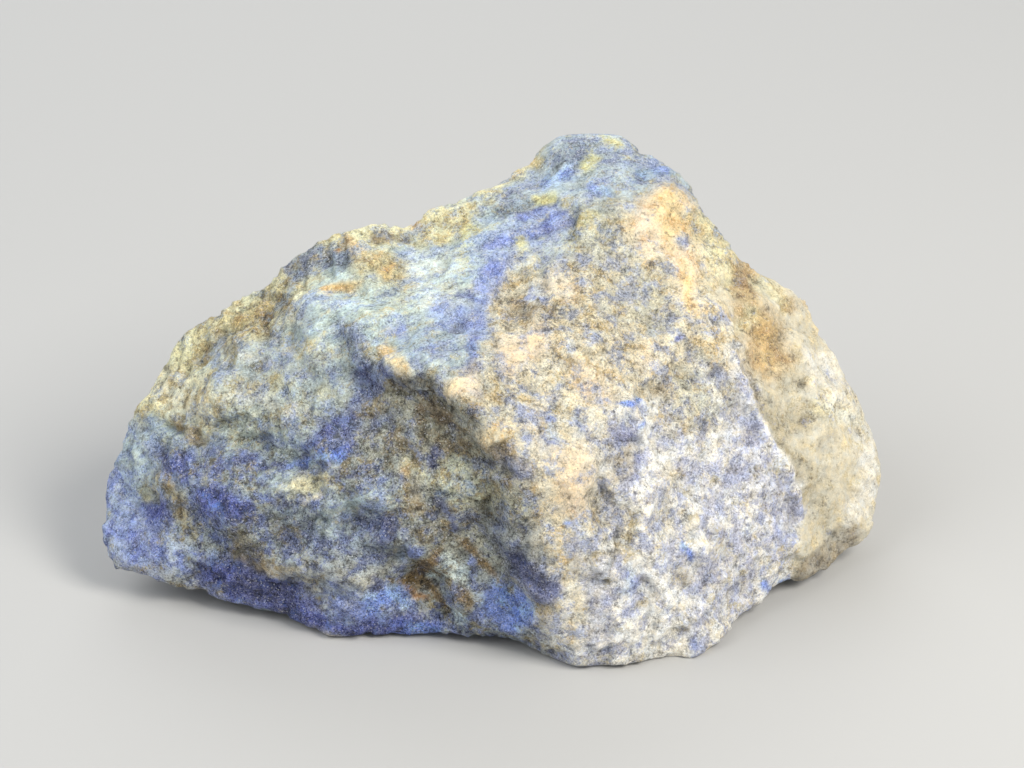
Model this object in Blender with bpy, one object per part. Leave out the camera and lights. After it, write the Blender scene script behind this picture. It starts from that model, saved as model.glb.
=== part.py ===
"""A rough lapis lazuli specimen: one broken stone, blue lazurite rock grown together with pale calcite.

It is one piece, so it is one object. It rests on its flat base facet, with its show side towards -Y.
Landmarks are in millimetres and the model is in metres, +Z up. The origin is the centre of the bottom
of the stone's box.
"""

import math

import bmesh
import bpy
from mathutils import Matrix, Vector, geometry, noise

MM = 0.001

# Points closer than this count as one, in millimetres
TOUCHING = 1e-4

# The mean colour of the stone, as linear red, green and blue
STONE_COLOUR = (0.36, 0.40, 0.52)
STONE_ROUGHNESS = 0.85

# The show side is drawn as an eye sees it that looks down at the stone. A landmark there is
# (across, up, toward): right and up in the eye's view, and from the view's middle towards the eye.
SIGHT_TILT = math.radians(30.0)
SIGHT_DISTANCE = 420.0
SIGHT_HEIGHT = 23.6

# The relief is worked on a fine even mesh, which is then thinned to the facets that the stone keeps
WORKING_SIZE = 0.9
FACETS = 9600
WEAR = 0.5
WEAR_PASSES = 7
WEAR_MADE_UP = 0.55
BASE_GRIND = 0.6

# The hidden side turns away from the outline by this much, inwards and away from the eye, wherever
# it is higher than this
BLUNT_INWARDS = 2.6
BLUNT_AWAY = 3.4
BLUNT_LOWEST = 4.0

# The outline of the stone, clockwise from the left tip, as (across, up, toward)
OUTLINE = [
    (-48.4, -17.1, -2.0), (-48.2, -13.0, -3.0), (-47.2, -9.0, -4.0), (-45.4, -4.1, -4.0),
    (-43.6, -0.6, -4.0), (-41.2, 2.2, -3.5), (-40.4, 4.5, -4.0), (-38.3, 7.5, -3.5),
    (-34.6, 10.0, -2.0), (-31.0, 12.8, -1.0), (-27.8, 15.6, 0.0), (-23.4, 18.8, 1.0),
    (-21.8, 20.5, 1.0), (-18.4, 21.4, 1.0), (-12.4, 22.0, 0.5), (-10.6, 21.5, 0.0),
    (-4.9, 24.4, -1.0), (-1.9, 25.8, -2.0), (2.1, 28.0, -3.0), (4.1, 29.8, -3.5),
    (6.4, 32.6, -4.5), (8.6, 33.6, -5.0), (14.6, 33.5, -5.5), (17.8, 32.8, -5.0),
    (20.4, 30.9, -4.5), (23.6, 28.0, -4.0), (26.2, 24.9, -4.0), (27.8, 21.8, -4.5),
    (30.2, 19.2, -5.0), (33.4, 16.6, -6.0), (36.8, 14.6, -7.0), (39.2, 12.3, -8.0),
    (40.4, 9.8, -8.5), (41.9, 7.0, -9.0), (43.9, 4.0, -10.0), (45.9, 0.2, -11.0),
    (47.5, -4.0, -11.5), (48.5, -8.4, -11.0), (48.2, -12.5, -10.0), (47.4, -16.3, -9.0),
    (45.8, -18.6, -8.0), (43.1, -20.6, -6.0), (39.6, -22.5, -3.0), (36.2, -22.9, -1.0),
    (34.1, -24.5, 1.0), (31.3, -27.0, 3.5), (28.9, -29.8, 6.3), (27.1, -31.9, 8.1),
    (25.1, -32.7, 9.5), (22.0, -32.2, 8.6), (18.5, -33.1, 10.2), (11.3, -33.5, 10.9),
    (8.1, -32.5, 9.2), (5.0, -30.9, 8.0), (2.5, -29.9, 7.4), (-5.6, -29.1, 6.6),
    (-12.5, -29.0, 5.6), (-16.3, -29.8, 5.0), (-19.6, -30.2, 5.2), (-22.9, -28.1, 4.4),
    (-25.9, -27.1, 3.5), (-30.0, -25.9, 2.6), (-37.0, -24.0, 1.0), (-44.4, -22.6, 0.0),
    (-46.9, -21.6, 0.0), (-48.0, -19.4, -1.0),
]

# The show side's landmarks inside the outline, as (across, up, toward)
SHOW_SIDE = {
    # The crest between the sunlit top and the shaded left face
    "crest_start": (-36.3, 3.5, 3.0),
    "crest_left": (-28.5, 4.8, 7.5),
    "crest_saddle": (-20.0, 6.5, 11.0),
    "crest_hollow_rim": (-13.1, 4.0, 16.5),
    "crest_brow": (-7.5, 3.3, 19.5),
    "crest_turn": (-3.1, -0.3, 21.5),
    "crest_nose": (1.9, -4.6, 22.5),
    "crest_under_nose": (4.4, -8.1, 22.0),
    "crest_waist": (4.8, -13.1, 20.5),
    "crest_lower": (6.3, -18.8, 18.5),
    "crest_heel": (7.8, -24.0, 16.5),
    "crest_toe": (7.0, -28.1, 13.0),
    # The shaded face, left of the crest
    "shade_under_brow": (-7.0, 0.0, 16.5),
    "shade_hollow": (-14.8, 2.0, 13.0),
    "shade_below_nose": (-2.0, -7.0, 16.5),
    "shade_gully_top": (-1.5, -13.0, 15.0),
    "shade_gully": (2.2, -20.0, 13.5),
    "shade_gully_foot": (3.0, -26.0, 11.0),
    "shade_swell": (-9.5, -10.5, 15.5),
    "shade_ledge": (-20.5, -11.5, 14.0),
    "shade_middle": (-17.5, -5.0, 13.5),
    "shade_left": (-25.0, -2.5, 10.5),
    "shade_far_left": (-34.0, -4.0, 6.0),
    "shade_left_edge": (-41.5, -6.5, 1.5),
    "shade_left_swell": (-30.0, -13.5, 9.0),
    "shade_left_low": (-39.0, -15.0, 4.0),
    "shade_low_shelf": (-27.5, -21.0, 7.0),
    "shade_low_middle": (-17.5, -22.5, 10.5),
    "shade_pit_rim": (-12.0, -18.0, 13.5),
    "shade_pit": (-8.0, -24.0, 9.0),
    "shade_low_right": (-2.0, -25.5, 10.5),
    # The sunlit top, above the crest
    "top_left_band": (-31.5, 8.0, 3.5),
    "top_left": (-24.0, 12.0, 6.0),
    "top_shelf": (-16.5, 15.0, 8.0),
    "top_middle": (-8.8, 12.5, 10.0),
    "top_over_brow": (-5.0, 7.5, 15.0),
    "top_vein": (0.5, 14.0, 8.0),
    "top_shoulder": (-2.5, 18.8, 4.5),
    "top_neck": (4.0, 23.8, 2.0),
    "top_peak_face": (10.0, 27.5, 0.0),
    # The right face
    "right_peak": (18.5, 26.5, 1.0),
    "right_upper": (11.3, 17.5, 8.5),
    "right_brow": (6.3, 8.8, 14.5),
    "right_upper_edge": (21.5, 15.0, 6.5),
    "right_rim_swell": (26.5, 17.0, 2.0),
    "right_centre": (13.8, 7.5, 14.0),
    "right_crest_side": (9.0, -2.5, 20.0),
    "right_middle": (16.5, -2.0, 17.0),
    "right_outer": (23.8, 5.0, 10.5),
    "right_top_edge": (28.8, 10.5, 6.0),
    "right_lip_top": (30.5, 6.5, 6.5),
    "right_lip": (33.2, -2.5, 5.5),
    "right_lip_low": (37.2, -9.5, 3.5),
    "right_flute_upper": (18.8, -11.3, 16.0),
    "right_flute_edge": (26.3, -5.0, 11.5),
    "right_belly": (13.8, -20.0, 17.0),
    "right_belly_edge": (21.3, -21.3, 14.0),
    "right_low_edge": (28.8, -13.8, 9.5),
    "right_toe_edge": (31.3, -21.3, 5.5),
    "right_toe": (25.0, -27.0, 10.5),
    "right_foot": (16.0, -29.0, 13.5),
    "right_heel": (9.5, -29.0, 14.0),
    "right_corner": (37.5, -18.8, 1.0),
    # The groove where the calcite joins the lapis
    "groove_top": (32.0, 12.5, 1.0),
    "groove_upper": (34.4, 7.0, 1.5),
    "groove_middle": (35.5, -1.0, 2.0),
    "groove_lower": (39.2, -7.5, 0.5),
    "groove_foot": (39.8, -15.0, -1.5),
    # The calcite along the right edge
    "calcite_top": (38.2, 7.5, -1.5),
    "calcite_upper": (40.5, 0.5, -1.0),
    "calcite_middle": (43.5, -6.5, -3.0),
    "calcite_lower": (44.0, -13.0, -4.0),
    "calcite_foot": (41.5, -18.0, -4.0),
}

# Runs of landmarks that stay sharp edges between two faces
CREASES = [
    ["crest_start", "crest_left", "crest_saddle", "crest_hollow_rim", "crest_brow", "crest_turn",
     "crest_nose", "crest_under_nose", "crest_waist", "crest_lower", "crest_heel", "crest_toe"],
    ["right_top_edge", "right_lip_top", "right_lip", "right_lip_low"],
    ["groove_top", "groove_upper", "groove_middle", "groove_lower", "groove_foot"],
]

# The floor side, as points of the base facet on the floor, (x, y)
BASE_FACET = [
    (-19.0, -17.6), (-8.0, -16.0), (8.0, -22.4), (24.0, -21.6), (28.5, -11.0),
    (32.0, 6.0), (20.0, 15.5), (0.0, 17.5), (-21.0, 14.0), (-30.0, 4.5),
]

# The hidden back, as (x, y, z)
BACK = {
    "back_low_left": (-36.0, 9.5, 11.0),
    "back_low_middle_left": (-15.0, 21.5, 12.5),
    "back_low_middle": (7.0, 25.5, 13.5),
    "back_low_right": (28.0, 20.5, 9.5),
    "back_right_end": (41.0, 12.5, 8.0),
    "back_high_left": (-27.0, 14.5, 25.5),
    "back_notch": (-10.0, 19.5, 30.0),
    "back_spur": (4.0, 27.0, 27.5),
    "back_high_middle": (12.0, 27.0, 34.5),
    "back_high_right": (26.5, 23.0, 25.0),
    "back_upper_right_end": (38.0, 17.0, 18.5),
    "back_peak": (14.0, 25.0, 43.0),
}

# Ledges and scarps of the show side: the run of the edge as (across, up) points, how far the rock
# on its left stands proud, and how far back from the edge it fades
LEDGES = [
    ([(-35.5, 5.0), (-30.5, 9.3), (-25.0, 13.0), (-20.0, 15.5)], -0.55, 5.0),
    ([(-28.5, 9.5), (-24.0, 12.8), (-16.5, 12.3), (-10.0, 13.5)], -0.65, 4.0),
    ([(-42.0, -3.0), (-34.0, -1.5), (-26.0, -6.0), (-19.5, -10.0)], 0.8, 5.0),
    ([(-24.5, -9.0), (-22.0, -11.3), (-18.8, -11.2), (-18.6, -14.5)], -0.9, 4.0),
    ([(-40.0, -12.0), (-33.0, -15.0), (-28.0, -21.0), (-21.5, -22.6)], 0.9, 4.5),
    ([(-14.0, -18.5), (-9.0, -20.0), (-4.5, -24.5), (-3.5, -28.0)], 1.0, 3.5),
    ([(-14.6, 3.4), (-7.0, 2.6), (-3.0, -1.2)], 0.8, 4.0),
    ([(17.5, 0.0), (20.0, -4.5), (21.0, -10.0)], -1.0, 4.5),
    ([(26.0, 5.5), (33.0, -2.5), (38.5, -10.5)], 0.6, 4.0),
    ([(13.5, -15.0), (17.0, -21.0), (18.5, -27.0)], -0.6, 4.0),
    ([(21.0, -19.0), (22.5, -25.5), (21.8, -31.5)], -0.5, 3.5),
    ([(4.0, 28.5), (7.5, 23.5), (13.0, 21.5)], 0.4, 4.0),
]

# Swells (positive) and pits (negative) of the show side: (across, up), radius, height
SWELLS = [
    ((-8.5, -23.5), 3.2, -1.3), ((-14.6, -15.6), 1.8, -0.9), ((18.5, -6.0), 2.4, -1.0),
    ((10.5, -9.0), 3.6, 0.8), ((22.0, 22.5), 4.0, 0.7), ((37.0, 7.0), 3.0, -0.8),
    ((42.5, -1.0), 3.0, 0.7), ((44.0, -19.0), 2.0, -0.8), ((-21.0, 7.5), 3.0, 0.7),
    ((-31.0, -14.0), 3.5, 0.7), ((-41.0, -19.0), 3.0, 0.6), ((-4.0, -11.5), 3.0, 0.7),
    ((8.5, -18.0), 2.2, 0.9), ((16.5, -17.5), 2.0, -0.7), ((-27.0, 11.0), 2.4, -0.7),
    ((4.0, 14.5), 3.0, -0.5), ((27.5, 8.5), 2.5, 0.6), ((12.0, 5.0), 3.2, 0.5),
]

# A ledge rises over this much on each side of its edge, and is worked out no further than this
# many times its reach. Ledges and swells are full where the rock faces the eye at FACING_FULL or
# more, as the cosine of the angle, and fade to none at FACING_NONE.
LEDGE_EDGE = 1.5
LEDGE_LIMIT = 2.5
FACING_NONE = 0.15
FACING_FULL = 0.65

# Broken-rock roughness: chips from ridged noise, the grain between them, and where both are read.
# The ridged noise runs from about 0 to CHIP_SPREAD * 2, and CHIP_LEVEL of its spread is the mean.
CHIP_SIZE = 11.0
CHIP_HEIGHT = 1.3
CHIP_OCTAVES = 3
CHIP_DETAIL = 2.1
CHIP_FALL = 1.0
CHIP_OFFSET = 0.9
CHIP_GAIN = 2.0
CHIP_SPREAD = 1.6
CHIP_LEVEL = 0.75
GRAIN_SIZE = 4.0
GRAIN_HEIGHT = 0.45
NOISE_OFFSET = Vector((31.7, 12.9, 7.3))

# Near the floor the roughness falls to this share, which it leaves again over this height
FLOOR_ROUGHNESS = 0.45
FLOOR_BAND = 6.0


def from_sight(across, up, toward):
    """The point in space, in millimetres, that the eye sees at (across, up) and this far towards it."""
    shrink = 1.0 - toward / SIGHT_DISTANCE
    x = across * shrink
    level = up * shrink
    y = level * math.sin(SIGHT_TILT) - toward * math.cos(SIGHT_TILT)
    z = SIGHT_HEIGHT + level * math.cos(SIGHT_TILT) + toward * math.sin(SIGHT_TILT)
    return Vector((x, y, z))


def to_sight(point):
    """(across, up) at which the eye sees a point in space, and how far towards the eye it is."""
    height = point.z - SIGHT_HEIGHT
    toward = height * math.sin(SIGHT_TILT) - point.y * math.cos(SIGHT_TILT)
    level = height * math.cos(SIGHT_TILT) + point.y * math.sin(SIGHT_TILT)
    shrink = 1.0 - toward / SIGHT_DISTANCE
    return Vector((point.x / shrink, level / shrink)), toward


def clear_scene():
    for thing in list(bpy.data.objects):
        bpy.data.objects.remove(thing, do_unlink=True)


def triangles_inside(rim, inner, creases=()):
    """Triangles over the rim and the inner points, in sight, that keep the rim and every crease."""
    flat = [to_sight(point)[0] for point in rim + inner]
    count = len(rim)
    edges = [(i, (i + 1) % count) for i in range(count)]
    edges += [(count + a, count + b) for a, b in creases]
    places, _, faces, *_ = geometry.delaunay_2d_cdt(flat, edges, [], 1, TOUCHING)
    if len(places) != len(flat):
        raise ValueError("two landmarks coincide, or two creases cross")
    return faces


def crease_pairs(names):
    order = {name: i for i, name in enumerate(names)}
    pairs = []
    for run in CREASES:
        pairs += [(order[a], order[b]) for a, b in zip(run, run[1:])]
    return pairs


def blunt_ring():
    """Points just behind the outline, so that the hidden side leaves it as a blunt edge."""
    ring = []
    count = len(OUTLINE)
    for i in range(0, count, 2):
        before = Vector(OUTLINE[i - 1][:2])
        after = Vector(OUTLINE[(i + 1) % count][:2])
        along = (after - before).normalized()
        across, up, toward = OUTLINE[i]
        inwards = Vector((along.y, -along.x)) * BLUNT_INWARDS
        point = from_sight(across + inwards.x, up + inwards.y, toward - BLUNT_AWAY)
        if point.z > BLUNT_LOWEST:
            ring.append(point)
    return ring


def landmark_mesh():
    """The closed rough form: the show side and the hidden side, joined along the outline."""
    rim = [from_sight(*point) for point in OUTLINE]
    show = [from_sight(*point) for point in SHOW_SIDE.values()]
    hidden = blunt_ring() + [Vector((x, y, 0.0)) for x, y in BASE_FACET]
    hidden += [Vector(point) for point in BACK.values()]
    form = bmesh.new()
    rim_verts = [form.verts.new(point) for point in rim]
    show_verts = rim_verts + [form.verts.new(point) for point in show]
    hidden_verts = rim_verts + [form.verts.new(point) for point in hidden]
    for face in triangles_inside(rim, show, crease_pairs(SHOW_SIDE)):
        form.faces.new([show_verts[i] for i in face])
    for face in triangles_inside(rim, hidden):
        form.faces.new([hidden_verts[i] for i in reversed(face)])
    bmesh.ops.recalc_face_normals(form, faces=form.faces)
    mesh = bpy.data.meshes.new("landmark_form")
    form.to_mesh(mesh)
    form.free()
    return mesh


def with_modifiers(mesh, *wanted):
    """A copy of the mesh with (modifier type, its settings) applied in turn."""
    holder = bpy.data.objects.new("working_form", mesh)
    bpy.context.scene.collection.objects.link(holder)
    for kind, settings in wanted:
        modifier = holder.modifiers.new(kind.lower(), kind)
        for name, value in settings.items():
            setattr(modifier, name, value)
    graph = bpy.context.evaluated_depsgraph_get()
    made = bpy.data.meshes.new_from_object(holder.evaluated_get(graph))
    bpy.data.objects.remove(holder)
    return made


def evened(mesh):
    """The form as a fine even mesh with its edges a little worn."""
    return with_modifiers(
        mesh,
        ("REMESH", {"mode": "VOXEL", "voxel_size": WORKING_SIZE}),
        ("SMOOTH", {"factor": WEAR, "iterations": WEAR_PASSES}),
    )


def thinned(mesh):
    """The same surface in FACETS triangles, small on edges and large where it is flat."""
    triangles = 2 * (len(mesh.vertices) - 2)
    return with_modifiers(mesh, ("DECIMATE", {"ratio": FACETS / triangles}))


def smooth_step(value):
    t = min(1.0, max(0.0, value))
    return t * t * (3.0 - 2.0 * t)


def nearest_on_run(place, run):
    """The distance from a run of points, and its part square to the run, positive on the left."""
    nearest, square = math.inf, 0.0
    for a, b in zip(run, run[1:]):
        start = Vector(a)
        along = Vector(b) - start
        t = min(1.0, max(0.0, (place - start).dot(along) / along.length_squared))
        offset = place - (start + along * t)
        if offset.length < nearest:
            nearest = offset.length
            square = along.cross(offset) / along.length
    return nearest, square


def ledge_height(place):
    """How far the ledges raise or lower the show side here."""
    height = 0.0
    for run, step, reach in LEDGES:
        distance, square = nearest_on_run(place, run)
        if distance < LEDGE_LIMIT * reach:
            rise = 2.0 * smooth_step(0.5 + 0.5 * square / LEDGE_EDGE) - 1.0
            height += step * rise * math.exp(-((distance / reach) ** 2))
    return height


def swell_height(place):
    """How far the swells and pits raise or lower the show side here."""
    height = 0.0
    for centre, radius, rise in SWELLS:
        distance = (place - Vector(centre)).length
        height += rise * math.exp(-((distance / radius) ** 2))
    return height


def chip_height(point):
    """Broken, flat-sided roughness: ridged noise over the whole stone."""
    spot = (point + NOISE_OFFSET) / CHIP_SIZE
    ridges = noise.ridged_multi_fractal(
        spot, CHIP_FALL, CHIP_DETAIL, CHIP_OCTAVES, CHIP_OFFSET, CHIP_GAIN
    )
    grain = noise.noise((point - NOISE_OFFSET) / GRAIN_SIZE)
    return CHIP_HEIGHT * (ridges / CHIP_SPREAD - CHIP_LEVEL) + GRAIN_HEIGHT * grain


def roughen(mesh):
    """Raises and lowers each point of the surface along its normal."""
    normals = [vertex.normal.copy() for vertex in mesh.vertices]
    eye = from_sight(0.0, 0.0, SIGHT_DISTANCE)
    for vertex, normal in zip(mesh.vertices, normals):
        point = vertex.co.copy()
        place, _ = to_sight(point)
        cosine = normal.dot((eye - point).normalized())
        facing = smooth_step((cosine - FACING_NONE) / (FACING_FULL - FACING_NONE))
        share = FLOOR_ROUGHNESS + (1.0 - FLOOR_ROUGHNESS) * smooth_step(point.z / FLOOR_BAND)
        rise = WEAR_MADE_UP + share * chip_height(point)
        rise += facing * (ledge_height(place) + swell_height(place))
        vertex.co = point + normal * rise
    mesh.update()


def cut_base_facet(mesh):
    """Cuts the underside flat where the stone rests, and closes the cut."""
    form = bmesh.new()
    form.from_mesh(mesh)
    geometry_in = list(form.verts) + list(form.edges) + list(form.faces)
    cut = bmesh.ops.bisect_plane(
        form, geom=geometry_in, dist=TOUCHING, plane_co=(0.0, 0.0, BASE_GRIND),
        plane_no=(0.0, 0.0, 1.0), clear_inner=True,
    )
    rim = [item for item in cut["geom_cut"] if isinstance(item, bmesh.types.BMEdge)]
    bmesh.ops.holes_fill(form, edges=rim, sides=0)
    bmesh.ops.triangulate(form, faces=form.faces)
    form.to_mesh(mesh)
    form.free()


def centre_on_floor(mesh):
    """Moves the stone so that the origin is the centre of its box's bottom, and turns it to metres."""
    points = [vertex.co for vertex in mesh.vertices]
    low = Vector([min(point[axis] for point in points) for axis in range(3)])
    high = Vector([max(point[axis] for point in points) for axis in range(3)])
    middle = Vector(((low.x + high.x) / 2.0, (low.y + high.y) / 2.0, low.z))
    mesh.transform(Matrix.Scale(MM, 4) @ Matrix.Translation(-middle))


def lapis_material():
    material = bpy.data.materials.new("lapis_rock")
    material.use_nodes = True
    shader = material.node_tree.nodes["Principled BSDF"]
    shader.inputs["Base Color"].default_value = (*STONE_COLOUR, 1.0)
    shader.inputs["Roughness"].default_value = STONE_ROUGHNESS
    shader.inputs["Metallic"].default_value = 0.0
    return material


def make_stone():
    mesh = evened(landmark_mesh())
    roughen(mesh)
    mesh = thinned(mesh)
    cut_base_facet(mesh)
    centre_on_floor(mesh)
    mesh.name = "lapis_stone"
    mesh.materials.append(lapis_material())
    stone = bpy.data.objects.new("lapis_stone", mesh)
    bpy.context.scene.collection.objects.link(stone)
    return stone


def main():
    clear_scene()
    make_stone()


main()
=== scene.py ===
"""The looks of a rough lapis lazuli specimen: its fine broken surface, its minerals, floor, light and camera.

The stone is one piece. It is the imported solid, remeshed finely, with small chips, steps and pits added,
and with the minerals painted over it in named strokes. Lengths are in millimetres unless a comment says
metres. The show side is described as the camera sees it: across is right and up is up in its view.
"""

import math

import bmesh
import bpy
import numpy as np
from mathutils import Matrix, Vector


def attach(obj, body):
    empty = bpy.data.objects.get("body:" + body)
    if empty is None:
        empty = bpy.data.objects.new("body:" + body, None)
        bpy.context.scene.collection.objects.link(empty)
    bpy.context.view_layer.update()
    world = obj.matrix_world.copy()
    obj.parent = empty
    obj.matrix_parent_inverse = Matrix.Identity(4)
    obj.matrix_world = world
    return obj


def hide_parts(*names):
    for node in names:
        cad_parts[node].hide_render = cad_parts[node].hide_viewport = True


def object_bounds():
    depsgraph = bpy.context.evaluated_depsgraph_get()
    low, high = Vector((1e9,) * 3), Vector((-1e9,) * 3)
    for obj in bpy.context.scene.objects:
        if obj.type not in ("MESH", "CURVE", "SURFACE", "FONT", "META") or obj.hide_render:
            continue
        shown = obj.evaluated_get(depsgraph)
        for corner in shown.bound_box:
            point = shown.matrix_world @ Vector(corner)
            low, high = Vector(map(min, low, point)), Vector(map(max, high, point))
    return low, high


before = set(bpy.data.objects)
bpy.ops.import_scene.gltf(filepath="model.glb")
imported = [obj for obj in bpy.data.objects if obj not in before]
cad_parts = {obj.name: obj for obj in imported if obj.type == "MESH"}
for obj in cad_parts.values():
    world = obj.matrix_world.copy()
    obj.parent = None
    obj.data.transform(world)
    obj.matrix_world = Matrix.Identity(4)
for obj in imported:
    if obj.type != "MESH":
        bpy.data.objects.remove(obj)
cad_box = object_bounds()

MM = 0.001

# The camera: it looks down at the stone by this angle from this distance, at the centre of its view
SIGHT_TILT = math.radians(30.0)
SIGHT_DISTANCE = 420.0
SIGHT_CENTRE = np.array([-0.7, -0.37, 23.0])
SIGHT_AWAY = np.array([0.0, -math.cos(SIGHT_TILT), math.sin(SIGHT_TILT)])
SIGHT_UP = np.array([0.0, math.sin(SIGHT_TILT), math.cos(SIGHT_TILT)])
VIEW_WIDTH = 128.0
VIEW_PIXELS = 1024
VIEW_SHIFT_PIXELS = (22, 16)
SENSOR_WIDTH = 36.0
CAMERA_NEAR_METRES = 0.01

# The show side fades into the hidden one where the surface turns away from the eye: from this cosine of
# the angle between them, over this much
SHOW_FROM = -0.35
SHOW_FADE = 0.3

# The stone's mesh
MERGE_METRES = 1e-6
VOXEL = 0.45
SMOOTH_PASSES = 4
SMOOTH_SHARE = 0.5

# Small-scale relief: cell size, height and seed of the tilted chips, then of the soft noise. Each chip has
# a tilt and a lift, as shares of its height, which are drawn from seeds of their own
CHIPS = [(5.2, 0.5, 11), (2.6, 0.26, 12), (1.4, 0.1, 13)]
CHIP_TILT = 2.0
CHIP_LIFT = 0.5
TILT_SEED = 5
LIFT_SEED = 9
SOFT_RELIEF = [(7.0, 0.35, 21), (2.2, 0.14, 22), (1.0, 0.07, 23)]

# Pits lie where a noise is high. Steps lie where a slow noise passes a whole level
PIT_SIZE = 3.4
PIT_DEPTH = 0.4
PIT_SHARE = 0.3
PIT_SOFTNESS = 0.25
PIT_SEED = 71
STEP_SIZE = 6.4
STEP_LEVELS = 3.0
STEP_HEIGHT = 0.4
STEP_SHARPNESS = 4.0
STEP_SEED = 61

# Long relief: the flutes of the lower right face run up it, and the fibres of the peak run aslant in view
FLUTE_SIZE = 2.3
FLUTE_HEIGHT = 0.4
FLUTE_STRETCH = 3.2
FLUTE_SEED = 91
FIBRE_SIZES = [(1.6, 0.2, 81), (0.9, 0.1, 82)]
FIBRE_STRETCH = 4.5
FIBRE_WAY = 0.89 * np.array([1.0, 0.0, 0.0]) + 0.45 * SIGHT_UP

# All relief fades out within this height above the flat base, and nothing stands out of the packed
# solid's box by more than the margin
FLOOR_BAND = 1.2
BOX_MARGIN = 0.3

# The peak: its relief is weaker in the topmost band, and its two corners are worn down, each given as
# a place along X, a reach and a drop, from the level where the corners start
PEAK_BAND = 5.0
PEAK_RELIEF = 0.3
PEAK_CORNERS = [(5.4, 3.0, 1.3), (18.4, 3.0, 1.1)]
PEAK_CORNER_LEVEL = 43.0


def srgb(red, green, blue):
    """The linear colour of an 8-bit screen colour."""
    return tuple(((value / 255.0 + 0.055) / 1.055) ** 2.4 for value in (red, green, blue))


class Rock:
    """One kind of rock: its ground colour, and the grains of other minerals scattered in it.

    Blue, stain and dark are the shares of the surface that those grains cover, each tint is an 8-bit
    colour, and the rest say how strong the contrast, the fibres, the relief and the flutes are.
    """

    def __init__(self, ground, blue, blue_tint, stain, stain_tint, dark, contrast,
                 fibre=0.0, relief=1.0, flute=0.0):
        tints = [*srgb(*ground), *srgb(*blue_tint), *srgb(*stain_tint)]
        self.values = np.array([*tints, blue, stain, dark, contrast, fibre, relief, flute])


# What each column of a painted point holds
GROUND = slice(0, 3)
BLUE_TINT = slice(3, 6)
STAIN_TINT = slice(6, 9)
BLUE, STAIN, DARK, CONTRAST, FIBRE, RELIEF, FLUTE = range(9, 16)

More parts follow.
